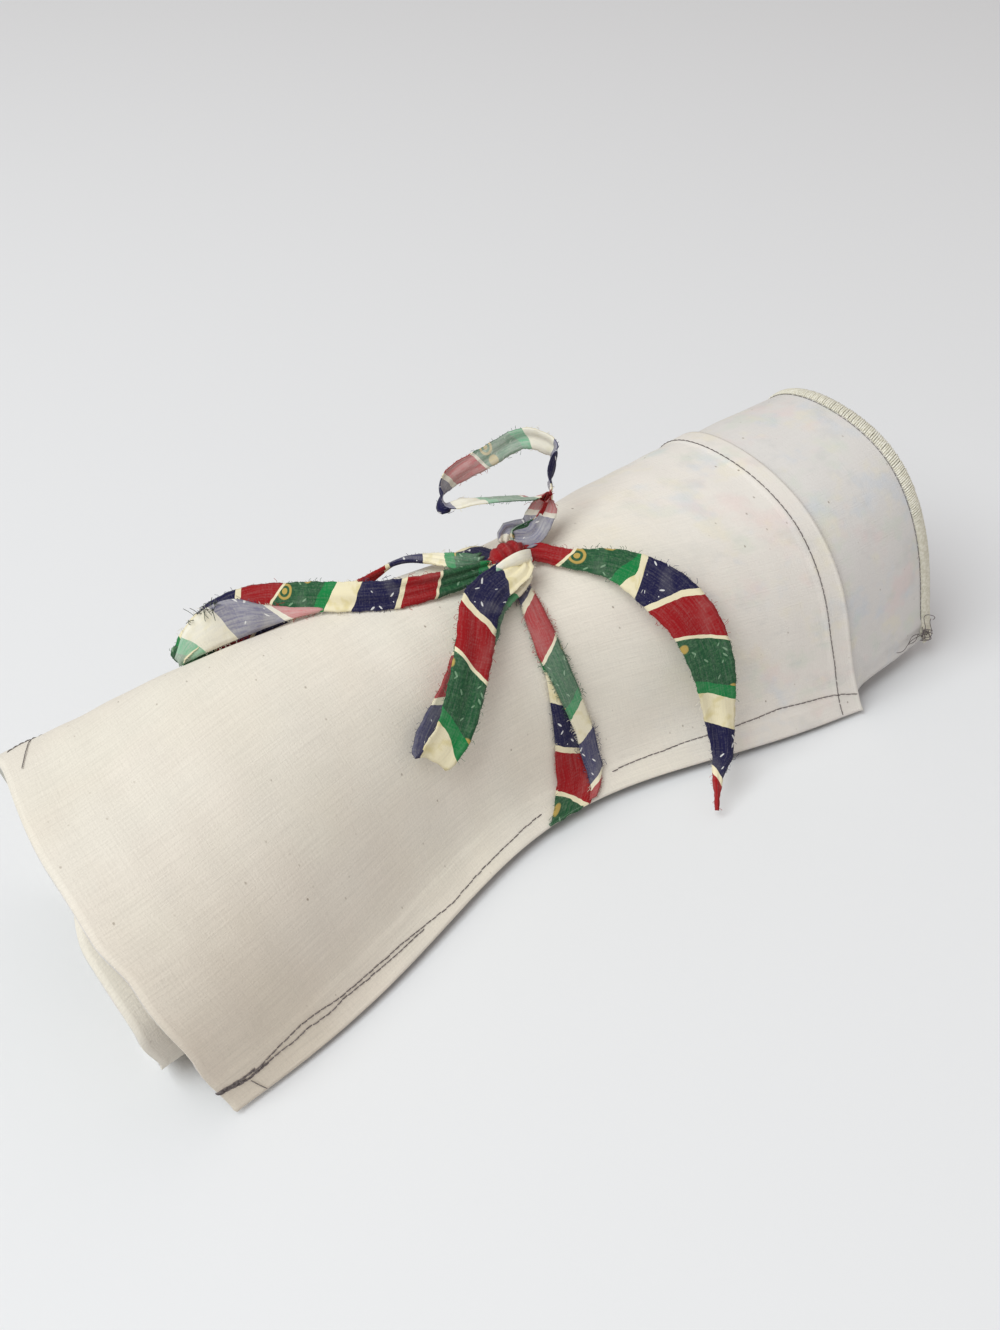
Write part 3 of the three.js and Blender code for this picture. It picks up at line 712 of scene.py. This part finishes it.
# Sewing between the pockets, on the pocket panel's own face.
def pocket_sewing():
    lines = []
    for number in range((len(POCKET_STRETCHES) - 1) * STRETCH_POCKETS + 1):
        place = np.interp(number / STRETCH_POCKETS, range(len(POCKET_STRETCHES)), POCKET_STRETCHES)
        lines.append([(x, np.interp(place, fine_s, cloth_lengths(x)))
                      for x in np.linspace(POCKET_FROM + 3, POCKET_MOUTH, 12)])
    return stitches("pocket_stitches", lines, 21, POCKET_DEPTH + CLOTH + 0.3)


# Sewn-over edge of the flap: slanting wraps of thread over the raw edge. Each goes out over the
# face and back below it: share of the width, height over the lining's middle, shift along it.
WRAP = ((0.0, 0.35, 0.0), (0.3, 0.95, 0.35), (0.7, 1.1, 0.75), (0.95, 0.7, 1.0), (1.0, 0.0, 1.05),
        (0.95, -0.7, 1.1), (0.7, -1.05, 1.3), (0.3, -0.9, 1.6), (0.0, -0.35, 1.9))
WRAP_PITCH, WRAP_SLANT, WRAP_RADIUS = 0.95, 1.44, 0.44
WRAP_STARTS, WRAP_ENDS = LINING_INSET - 6.5, 0.965


def overlock_edge():
    threads = []
    x_in, x_out = FLAP_END + 0.3, FLAP_END + 0.3 + OVERLOCK_WIDTH
    middle = LINING_DEPTH + LINING / 2
    table = cloth_lengths(FLAP_END)
    chance = np.random.default_rng(7)
    at = WRAP_STARTS
    while at < table[-1] * WRAP_ENDS:
        loop = []
        for share, height, shift in WRAP:
            x = mix(x_in, x_out, share) + chance.uniform(-0.15, 0.15)
            s = np.interp(at + WRAP_SLANT * shift, table, fine_s)
            loop.append(cloth(x, [s], middle - height)[0][0])
        threads.append((loop, 0))
        at += WRAP_PITCH * chance.uniform(0.85, 1.15)
    return thread_piece("overlock_wraps", threads, WRAP_RADIUS, [cream_thread])


# Knot: where it sits, and its frame along the roll, outward and round to the back
ALONG = np.array([1.0, 0, 0])
STRIP_LIFT = TIE_CLEAR + STRIP + 0.3
knot_seat, knot_out = (part[0] for part in cloth(TIE_X + KNOT_X, [KNOT_S], loose=False))
knot_centre = knot_seat + knot_out * (STRIP_LIFT + KNOT_ROUND)


def in_frame(out, way):
    return way[0] * ALONG + way[1] * out + way[2] * np.cross(out, ALONG)


def from_knot(way):
    return knot_centre + in_frame(knot_out, way)


# Edges of the strip down the front of the waist: x at each length from the hem
FRONT_LENGTHS = (0, 5, 13, 29, 47, 57, 66, 78, 88, 96)
FRONT_LEFT = (5, 11, 17.5, 21.3, 23.3, 24.8, 25, 27.4, 31, 34)
FRONT_RIGHT = (24.4, 30.5, 35.5, 36.5, 34.8, 34, 34, 35, 37, 39.5)
FOLD_LEFT = (23.3, 28, 30, 30.5, 27, 25.6, 24.6, 27, 30.7, 33.7)
FOLD_RIGHT = (26.4, 32.5, 37.2, 38, 35.8, 34.6, 34.6, 35.6, 37.4, 39.8)
FRONT_TABLE_X = TIE_X + 8
BAND_THICK, LOOP_THICK = 0.5, 0.4
BAND_PRINT, FOLD_PRINT, HEM_TURN = 44, 106, 14
BAND_NARROWED, BAND_JOINS = 1.6, (88, 112)


def front_edges(length, *edges):
    return [np.interp(length, FRONT_LENGTHS, edge) for edge in edges]


# Strip round the waist, pulled narrow under the knot and opened out lower at the front.
def tie_band():
    ring, flats = [], []
    sides = np.linspace(-1, 1, 13)
    table = cloth_lengths(FRONT_TABLE_X)
    for s in np.linspace(0.004, TIE_TURNS_UNDER - 0.012, 230):
        middle = TIE_X + KNOT_X * (1 - ease(s, KNOT_S, 0.45))
        narrowed = BAND_NARROWED * ease(s, 0.15, 0.22) * (1 - ease(s, 0.3, 0.4))
        half = STRIP_WIDTH / 2 - narrowed
        length = np.interp(s, fine_s, table)
        k = ease(length, *BAND_JOINS)
        left, right = front_edges(length, FRONT_LEFT, FRONT_RIGHT)
        left, right = mix(left, middle - half, k), mix(right, middle + half, k)
        row = []
        for side in sides:
            bulge = 0.35 * sin(7 * side + 40 * s) + 0.3 * sin(3 * side - 25 * s)
            row.append(cloth(mix(left, right, (side + 1) / 2), [s], -(STRIP_LIFT + bulge * 0.5))[0][0])
        ring.append(row)
        flats.append([(BAND_PRINT - length, -side * (right - left) / 2) for side in sides])
    # round the lower edge of the loose hem
    turn, turn_flats = [], []
    for k in np.linspace(0, 1, 9)[1:-1]:
        bend = np.array([0, -1.5, -1.2]) * sin(pi * k)
        turn.append([mix(last, first, k) + bend for last, first in zip(ring[-1], ring[0])])
        turn_flats.append([(BAND_PRINT + HEM_TURN * (1 - k), v) for _, v in flats[0]])
    return strip_piece("tie_strip", ring + turn + ring[:1], flats + turn_flats + flats[:1], BAND_THICK,
                       [print_right, print_wrong])


# The strip's other edge, turned over at the front so that its wrong side shows.
def band_fold():
    grid, flats = [], []
    table = cloth_lengths(FRONT_TABLE_X)
    sides = np.linspace(0, 1, 9)
    for length in np.linspace(1.2, 95, 90):
        s = np.interp(length, table, fine_s)
        left, right = front_edges(length, FOLD_LEFT, FOLD_RIGHT)
        row = []
        for side in sides:
            puff = 0.9 * sin(pi * side) ** 0.8 + 0.25 * sin(9 * side + 0.21 * length)
            row.append(cloth(mix(left, right, side), [s], -(STRIP_LIFT + 0.75 + 0.6 * puff))[0][0])
        grid.append(row)
        flats.append([(FOLD_PRINT - length, (side - 0.5) * (right - left) * 1.4) for side in sides])
    return strip_piece("tie_strip_fold", grid, flats, LOOP_THICK, [print_wrong, print_right])


# Smooth curve through the stops of a path, at shares of it counted evenly from stop to stop.
def through(points, shares):
    points = np.array(points)
    ends = [2 * points[0] - points[1], *points, 2 * points[-1] - points[-2]]
    spans = len(points) - 1
    result = []
    for share in shares:
        i = min(spans - 1, int(share * spans))
        w = share * spans - i
        a, b, c, d = ends[i:i + 4]
        gaps = [max(np.linalg.norm(q - p), 1e-4) ** 0.5 for p, q in ((a, b), (b, c), (c, d))]
        start = ((b - a) / gaps[0] - (c - a) / (gaps[0] + gaps[1]) + (c - b) / gaps[1]) * gaps[1]
        end = ((c - b) / gaps[1] - (d - b) / (gaps[1] + gaps[2]) + (d - c) / gaps[2]) * gaps[1]
        result.append(b + start * w + (-3 * b + 3 * c - 2 * start - end) * w ** 2
                      + (2 * b - 2 * c + start + end) * w ** 3)
    return np.array(result)


def over_cloth(along, s, height):
    point, out = cloth(TIE_X + KNOT_X + along, [s], -height, loose=False)
    return point[0], out[0]


# Path of a strip of the bow from the knot along its stops, and back to the knot for a loop:
# places and outward directions. A stop is a distance from the knot along X, a place round the
# spiral, a height over the cloth and, past the hem, a droop.
def bow_path(lead, ends, stops):
    def at_knot(end, k):
        return from_knot([e + k * v for e, v in zip(end, lead)]), knot_out

    path = [at_knot(ends[0], 0), at_knot(ends[0], 1)]
    for along, s, height, *droop in stops:
        point, out = over_cloth(along, s, height)
        path.append((point - np.array([0, 0, sum(droop)]), out))
    for end in ends[1:]:
        path += [at_knot(end, 1), at_knot(end, 0)]
    return [point for point, _ in path], np.array([out for _, out in path])


STRIP_STEP, STRIP_HALF_LEAST = 1.1, 4.5
RAGGED, RIPPLE, GATHER = (0.14, 0.1), (0.5, 0.3), 1.1
strip_sides = np.linspace(-1, 1, 13)


# One row across a strip, u mm along it: ragged edges, a soft ripple, and gathers near the knot.
def strip_row(at, across, facing, half, u, pinch, phases):
    ragged = [RAGGED[0] * sin(u * 0.9 + phases[n]) + RAGGED[1] * sin(u * 2.3 + phases[n + 1])
              for n in (0, 2)]
    row = []
    for side in strip_sides:
        edge = ragged[0] if side < 0 else ragged[1]
        ripple = (RIPPLE[0] * sin(2.6 * side + 0.06 * u + phases[4])
                  + RIPPLE[1] * sin(5.2 * side - 0.09 * u + phases[5])) * (0.4 + 0.6 * pinch)
        gather = (1 - pinch) * GATHER * cos(9 * side + phases[6])
        row.append(at + across * side * (half + edge * abs(side)) + facing * (ripple + gather))
    return row


# Strip of the bow along its path. The print runs on from start by way for each mm, and by what
# skip adds.
def bow_strip(name, body, lead, ends, stops, across_at, width_at, start, way, turned, seed,
              wrong=print_wrong, skip=lambda u, side: 0):
    points, outs = bow_path(lead, ends, stops)
    shares = np.linspace(0, 1, 600)
    fine = through(points, shares)
    travel = travelled(fine)
    even = np.linspace(0, travel[-1], int(travel[-1] / STRIP_STEP) + 1)
    at = np.column_stack([np.interp(even, travel, fine[:, k]) for k in range(3)])
    run = np.gradient(at, axis=0)
    run /= np.linalg.norm(run, axis=1)[:, None]
    phases = np.random.default_rng(seed).uniform(0, 6.28, 8)
    v_way = copysign(1, way) * (1 if turned else -1)
    grid, flats = [], []
    for k, u in enumerate(even):
        share = np.interp(u, travel, shares)
        spot = share * (len(points) - 1)
        i = min(len(points) - 2, int(spot))
        out = mix(outs[i], outs[i + 1], spot - i)
        across = in_frame(unit(out), across_at(share))
        across = unit(across - run[k] * across.dot(run[k]))
        half = width_at(share) / 2
        pinch = min(1, 4 * min(share, 1.0 if len(ends) < 2 else 1 - share))
        grid.append(strip_row(at[k], across, np.cross(run[k], across), half, u, pinch, phases))
        flats.append([(start + way * u + skip(u, side), v_way * side * max(half, STRIP_HALF_LEAST))
                      for side in strip_sides])
    return strip_piece(name, grid, flats, LOOP_THICK, [print_right, wrong], body, 0.0, turned)


def towards(a, b, k):
    return [mix(p, q, k) for p, q in zip(a, b)]


def near_knot(k):
    return min(max(5 * min(k, 1 - k), 0), 1)


def loop_width(k):
    return STRIP_WIDTH * mix(KNOT_PINCH, 1, near_knot(k))


STANDING, LYING, TIED = (0, 0.8, 0.6), (0.5, -0.25, 0.8), (0, 0.55, 0.83)


def left_loop():
    stops = [(-21, 0.226, 6.3), (-33, 0.228, 5.8), (-46, 0.234, 5.4), (-60, 0.25, 5.6), (-71, 0.268, 8),
             (-80, 0.275, 12), (-89, 0.277, 13.2), (-98, 0.278, 12), (-108, 0.282, 7.5), (-113, 0.288, 4.5),
             (-106, 0.297, 3.6), (-91, 0.303, 3.2), (-72, 0.305, 3), (-54, 0.303, 3), (-39, 0.293, 3.6),
             (-25, 0.274, 5.4)]
    ends = [(-KNOT_END, 0.5, -2), (-KNOT_END, 0.5, 2.5)]

    def across_at(k):
        back = towards(STANDING, LYING, ease(k, 0.52, 0.66))
        return towards(towards(TIED, back, ease(k, 0, 0.15)), TIED, ease(k, 0.84, 1))

    return bow_strip("left_bow_loop", "left_loop", (-KNOT_LEAD, 0, 0), ends, stops, across_at,
                     lambda k: 0.8 * loop_width(k), 68, -1.35, True, 3)


# Far end of the left loop, where the strip has turned over below the near strand.
FOLD_TOP = [(-66, 0.256, 2.6), (-74, 0.266, 5), (-83, 0.269, 9.5), (-91, 0.27, 15), (-100, 0.2715, 15.5),
            (-109, 0.276, 11.5), (-116, 0.283, 4)]
FOLD_LOW = [(-66, 0.255, 1.3), (-74, 0.261, 1.4), (-83, 0.267, 1.4), (-91, 0.269, 1.4), (-100, 0.273, 1.4),
            (-109, 0.278, 1.2), (-116, 0.284, 1)]


def left_fold():
    rows = np.linspace(0, 1, 9)
    low_line, top_line = (through([over_cloth(*stop)[0] for stop in stops], np.linspace(0, 1, 40))
                          for stops in (FOLD_LOW, FOLD_TOP))
    grid, flats = [], []
    front = np.array([0, -0.85, 0.5])
    for k, (low, top) in enumerate(zip(low_line, top_line)):
        puff = 0.8 + 0.5 * sin(0.5 * k)
        grid.append([mix(low, top, v) + front * (puff * sin(pi * v)) for v in rows])
        flats.append([(36 - 1.5 * k, 9 * (v - 0.5)) for v in rows])
    return strip_piece("left_loop_fold", grid, flats, LOOP_THICK, [print_faded, print_right],
                       "left_loop", 0.0)


# Tuft of loose threads where the left loop turns over.
def left_tuft(grid):
    chance = np.random.default_rng(51)
    threads = []
    for _ in range(26):
        at = grid[24 + chance.integers(0, 7), 8] + chance.normal(0, 0.7, 3) + (0, -0.6, 0)
        way = unit(chance.normal(0, 1, 3) + (-0.6, -0.3, 0.2))
        bend = chance.normal(0, 0.5, 3)
        threads.append(([at + way * k * 3 + bend * k * k * 2 for k in (0, 0.35, 0.7, 1)], 0))
    return thread_piece("left_loop_tuft", threads, 0.12, [dark_thread], "left_loop", 0)


# Upper loop: how the strip is turned at shares of its path, and its widths below and above the
# twist
UPPER_SHARES = (0, 0.18, 0.22, 0.27, 0.4, 0.5, 0.58, 1)
UPPER_ACROSS = ((-0.4, 0.5, 0.75), (-0.4, 0.5, 0.7), (0, 1, 0.1), (0, 0.2, -1), (0, 0, -1), (0, 0.9, -0.4),
                (0, 1, -0.2), (0, 1, -0.2))
UPPER_WIDTHS, TWIST_AT, TWIST_REACH, TWIST_PINCH = (10.5, 8.2), 0.225, 0.02, 0.45


def upper_loop():
    stops = [(15, 0.236, 9), (21, 0.239, 12), (27, 0.242, 15), (18, 0.243, 20), (7, 0.245, 24),
             (-4, 0.248, 26), (-10, 0.253, 25), (-8, 0.258, 27), (0, 0.262, 30), (17, 0.262, 32),
             (33, 0.258, 33), (39, 0.252, 26), (32, 0.247, 20), (29, 0.244, 15), (20, 0.24, 9)]
    ends = [(4.5, 1, 4.6), (6.5, 0.5, 4.6)]

    def across_at(k):
        return [np.interp(k, UPPER_SHARES, [way[n] for way in UPPER_ACROSS]) for n in range(3)]

    def width_at(k):
        twist = 1 - TWIST_PINCH * exp(-((k - TWIST_AT) / TWIST_REACH) ** 2)
        tied = mix(KNOT_PINCH, 1, min(1, 12 * k, 6 * (1 - k)))
        return mix(*UPPER_WIDTHS, ease(k, 0.2, 0.26)) * twist * tied

    return bow_strip("upper_bow_loop", "upper_loop", (1.2, 2.2, 1.2), ends, stops, across_at, width_at,
                     -4, 1.3, True, 4, print_faded)


def front_loop():
    stops = [(-15, 0.21, 9.5), (-25, 0.201, 11), (-37, 0.183, 12), (-48, 0.167, 12), (-59, 0.153, 11),
             (-68, 0.147, 8), (-63, 0.152, 4.6), (-46, 0.168, 4.6), (-32, 0.186, 4.6), (-18, 0.205, 4.8)]
    ends = [(-1, 2.2, -KNOT_SIDE), (-1, -1.6, -KNOT_SIDE)]
    return bow_strip("front_bow_loop", "front_loop", (0, 0, -KNOT_LEAD), ends, stops,
                     lambda k: towards((1, 0, 0), (0.8, 0, -0.6), near_knot(k)),
                     lambda k: 1.12 * loop_width(k), -11, 1, False, 5)


# The tail's print jumps on where the strip has been folded and pressed.
TAIL_FOLD, TAIL_FOLD_REACH, TAIL_JUMP = 46, 5, 18


def right_tail():
    stops = [(19, 0.215, 4.4), (31, 0.197, 7), (39, 0.179, 8), (44, 0.16, 10), (45, 0.136, 12),
             (43, 0.106, 14), (38, 0.055, 17), (32, 0.01, 22, 3), (26, 0, 35, 23)]

    def width_at(k):
        opened = ease(k, 0.18, 0.45) * (TAIL_WIDTH - STRIP_WIDTH * KNOT_PINCH)
        taper = ease(k, 0.5, 0.97) * (TAIL_WIDTH - TAIL_TIP)
        return STRIP_WIDTH * KNOT_PINCH + opened - taper - 2.6 * ease(k, 0.9, 1)

    def skip(u, side):
        return TAIL_JUMP * ease(u + 3 * side, TAIL_FOLD - TAIL_FOLD_REACH, TAIL_FOLD)

    return bow_strip("right_bow_tail", "right_tail", (KNOT_LEAD, 0, 0), [(KNOT_END, -1, -2.6)], stops,
                     lambda k: towards((0, 0.3, 1), (1, 0.25, 0), ease(k, 0.1, 0.7)), width_at,
                     -54, 1, False, 6, skip=skip)


# Knot: the strip wound round itself, gathered into folds along its turn.
KNOT_FROM, KNOT_TO, KNOT_PRINT = -3.5, 3.6, 29


def tie_knot():
    grid, flats = [], []
    sides = np.linspace(-1, 1, 19)
    for angle in np.linspace(KNOT_FROM, KNOT_TO, 76):
        row = []
        turn = (angle - KNOT_FROM) / (2 * pi)
        for side in sides:
            lift = KNOT_ROUND * (1 - abs(side) ** 2.6 * 0.5)
            lift += 0.4 * cos(11 * side + 0.8 * sin(angle))
            lift += 0.5 * max(0, turn - 0.12) - 0.55
            lean = 1.4 * sin(angle) + 1.2 * side * cos(angle)
            row.append(from_knot((side * KNOT_LONG / 2 * 0.92 + lean * 0.5, lift * cos(angle),
                                  lift * sin(angle))))
        grid.append(row)
        flats.append([(angle * KNOT_ROUND + KNOT_PRINT, side * 4) for side in sides])
    return strip_piece("knot_wrap", grid, flats, BAND_THICK, [print_right, print_wrong])


# Edge of the strip that is pinched over the front loop where it leaves the knot.
PINCHED = [(-13, -0.5, -4), (-9, 1.8, -5.2), (-4.5, 4.2, -6.8), (0, 4.7, -7.6), (4, 3, -7.2), (6, 0, -6.2)]
PINCHED_HALF = (0.8, 2.7)


def knot_fold():
    shares, sides = np.linspace(0, 1, 30), np.linspace(-1, 1, 9)
    line = through([from_knot(way) for way in PINCHED], shares)
    front = in_frame(knot_out, (0, 0.3, -0.95))
    grid, flats = [], []
    for k, at in enumerate(line):
        along = unit(line[min(k + 1, len(line) - 1)] - line[max(k - 1, 0)])
        up = in_frame(knot_out, (0.1, 0.95, 0.3))
        up = unit(up - along * up.dot(along))
        half = mix(*PINCHED_HALF, ease(shares[k], 0, 0.6))
        grid.append([at + up * side * half + front * 0.9 * (1 - side ** 2) for side in sides])
        flats.append([(60 + 20 * shares[k], side * half) for side in sides])
    return cloth_piece("front_loop_fold", np.array(grid), np.array(flats), LOOP_THICK,
                       [print_faded, print_faded], "front_loop", 0.0)


outer = outer_panel()
lining = lining_panel()
pocket = pocket_panel()
wraps = overlock_edge()
band, band_grid, band_flats = tie_band()
fold, fold_grid, fold_flats = band_fold()
knot, knot_grid, knot_flats = tie_knot()
pinched = knot_fold()
left, left_grid, left_flats = left_loop()
left_turned, turned_grid, turned_flats = left_fold()
tuft = left_tuft(turned_grid)
upper, upper_grid, upper_flats = upper_loop()
front, front_grid, front_flats = front_loop()
tail, tail_grid, tail_flats = right_tail()

# Rows of each strip that fray in sight
BAND_SEEN, KNOT_SEEN, UPPER_SEEN = slice(12, 228), slice(20, 56), slice(18, -22)
band_fray = frayed("tie_strip_threads", band_grid[BAND_SEEN], band_flats[BAND_SEEN], "roll", 31)
fold_fray = frayed("tie_strip_fold_threads", fold_grid, fold_flats, "roll", 32, 2.2, 0.5)
knot_fray = frayed("knot_threads", knot_grid[KNOT_SEEN], knot_flats[KNOT_SEEN], "roll", 33, 2.4, 0.45)
left_fray = frayed("left_loop_threads", left_grid, left_flats, "left_loop", 34)
turned_fray = frayed("left_loop_fold_threads", turned_grid, turned_flats, "left_loop", 35, 2.2, 0.6)
upper_fray = frayed("upper_loop_threads", upper_grid[UPPER_SEEN], upper_flats[UPPER_SEEN], "upper_loop", 36)
front_fray = frayed("front_loop_threads", front_grid, front_flats, "front_loop", 37)
tail_fray = frayed("right_tail_threads", tail_grid, tail_flats, "right_tail", 38, 2.0)

# Lines of sewing: x and length from the hem
HEM_LINES = [
    [(-148, 9.7), (-141, 8), (-138, 7.2), (-132, 8.4), (-120, 10), (-115, 10.6), (-108, 9.7), (-101, 8.4),
     (-71, 7), (-46, 3.9), (-10, 5), (6, 6)],
    [(-148, 9.2), (-138, 6.8), (-132, 7.6), (-120, 7.3), (-114, 7.9), (-106, 6.6), (-99, 7.1), (-80, 6),
     (-60, 5)]]
HEM_START_LINES = [[(-148, 9.5), (-141, 8.3), (-132, 8)], [(-147.5, 8.6), (-139, 6.9), (-130, 7.6)],
                   [(-148, 10), (-140, 8.6), (-134, 8.8)]]
HEM_RIGHT_LINE = [(40, 8), (60, 9), (92, 11), (112, 13.2), (124, 12.2), (137, 10.9), (147, 8)]
BAND_LINE = [(138, 1), (139.5, 25), (139, 40), (139.5, 66), (140, 88), (139.5, 114), (138.5, 143),
             (138.5, 180)]
FLAP_LINE = [(FLAP_END - 0.3, length) for length in range(20, 200, 12)]
BACK_LINE = [(-143, 154), (-132, 160), (-118, 160), (-102, 158), (-80, 157), (-60, 156)]
hem_line = stitches("hem_stitches", HEM_LINES, 11)
hem_start = stitches("hem_stitches_start", HEM_START_LINES, 15, pitch=2.0, radius=0.26)
hem_right = stitches("hem_stitches_right", [HEM_RIGHT_LINE], 13)
band_line = stitches("band_stitches", [BAND_LINE], 14)
flap_line = stitches("flap_stitches", [FLAP_LINE], 17, LINING_DEPTH, radius=0.13)
back_line = stitches("back_stitches", [BACK_LINE], 16)
pocket_line = pocket_sewing()


def surface_thread(stops, depth, lift):
    return [on_cloth(x, length, depth - lift * (1 + 0.5 * sin(0.6 * k)))
            for k, (x, length) in enumerate(stops)]


# Thread ends: the end of the sewing at the back, the one by the hem and the nest at the flap's
# corner, with its rings as x, length from the hem, half width, half height and lift.
BACK_END = [(-133, 159), (-136, 152), (-139, 146), (-142, 139)]
HEM_END = [(-138, 6), (-137, 3), (-135.5, 0.6)]
NEST_RINGS = [(196.4, 17.2, 4.0, 5.2, 2.7), (195.6, 12.6, 3.4, 2.3, 2.3), (196.6, 11.6, 3, 1.8, 2.1),
              (188.5, 13.6, 4, 1.4, 0.6)]
NEST_X, NEST_LENGTH = 195.4, 12.6


def thread_ends():
    chance = np.random.default_rng(41)
    threads = [(surface_thread(BACK_END, 0, 0.35), 0), (surface_thread(HEM_END, 0, 0.3), 0)]
    circle = np.linspace(0, 2 * pi, 31)
    for x, length, wide, tall, lift in NEST_RINGS:
        tilt = chance.uniform(-0.3, 0.3)
        stops = [(x + wide * cos(a) + tilt * sin(a), length + tall * sin(a + tilt))
                 for a in circle]
        threads.append((surface_thread(stops, LINING_DEPTH, lift), 0))
    # one thread led off along the lower edge, and short ends standing off the nest
    trail = [(194 - 1.1 * k, 12.8 + 0.9 * sin(0.4 * k)) for k in range(17)]
    threads.append((surface_thread(trail, LINING_DEPTH, 0.6), 0))
    for _ in range(9):
        x, length = chance.normal(NEST_X, 1.2), chance.normal(NEST_LENGTH, 1.2)
        lean, rise = chance.normal(0.4, 1.2), chance.normal(0.8, 1.6)
        stops = [(x + lean * k, length + rise * k + 0.5 * sin(3 * k))
                 for k in (0, 0.4, 0.8, 1.2, 1.6, 2)]
        threads.append((surface_thread(stops, LINING_DEPTH, chance.uniform(0.4, 1.4)), 0))
    return thread_piece("thread_ends", threads, 0.15, [grey_thread])


ends_piece = thread_ends()

for piece, node in ((outer, "outer_panel"), (lining, "lining_panel"), (pocket, "pocket_panel"),
                    (wraps, "overlock_edge"), (band, "tie_band"), (knot, "tie_knot"), (left, "left_loop"),
                    (upper, "upper_loop"), (front, "front_loop"), (tail, "right_tail")):
    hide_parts(node)

# Floor and light
FLOOR_TONE, FLOOR_HALF, FLOOR_BELOW = (0.80, 0.81, 0.825), 6, 0.0006
WINDOW_AT, WINDOW_SIZE, WINDOW_POWER, WINDOW_TONE = (-1.7, -0.1, 2.33), 2.0, 66, (0.95, 1.0, 1.01)
ROOM_TONE, ROOM_STRENGTH = (1.05, 0.98, 0.95, 1), 0.45

floor_finish = Finish("pale_floor", 0.9)
floor_finish.set("Base Color", (*FLOOR_TONE, 1))
bm = bmesh.new()
bmesh.ops.create_grid(bm, x_segments=1, y_segments=1, size=FLOOR_HALF)
bmesh.ops.translate(bm, verts=bm.verts[:], vec=(0, 0, -FLOOR_BELOW))
floor = placed("floor", mesh_from(bm, "floor", [floor_finish.material]))

lamp = bpy.data.lights.new("window", "AREA")
lamp.shape = "SQUARE"
lamp.size, lamp.energy, lamp.color = WINDOW_SIZE, WINDOW_POWER, WINDOW_TONE
window = placed("window", lamp)
window.location = WINDOW_AT
window.rotation_euler = (-Vector(WINDOW_AT)).to_track_quat("-Z", "Y").to_euler()
world = bpy.data.worlds.new("room")
scene.world = world
world.use_nodes = True
world.node_tree.nodes["Background"].inputs["Color"].default_value = ROOM_TONE
world.node_tree.nodes["Background"].inputs["Strength"].default_value = ROOM_STRENGTH
scene.view_settings.view_transform = "Standard"
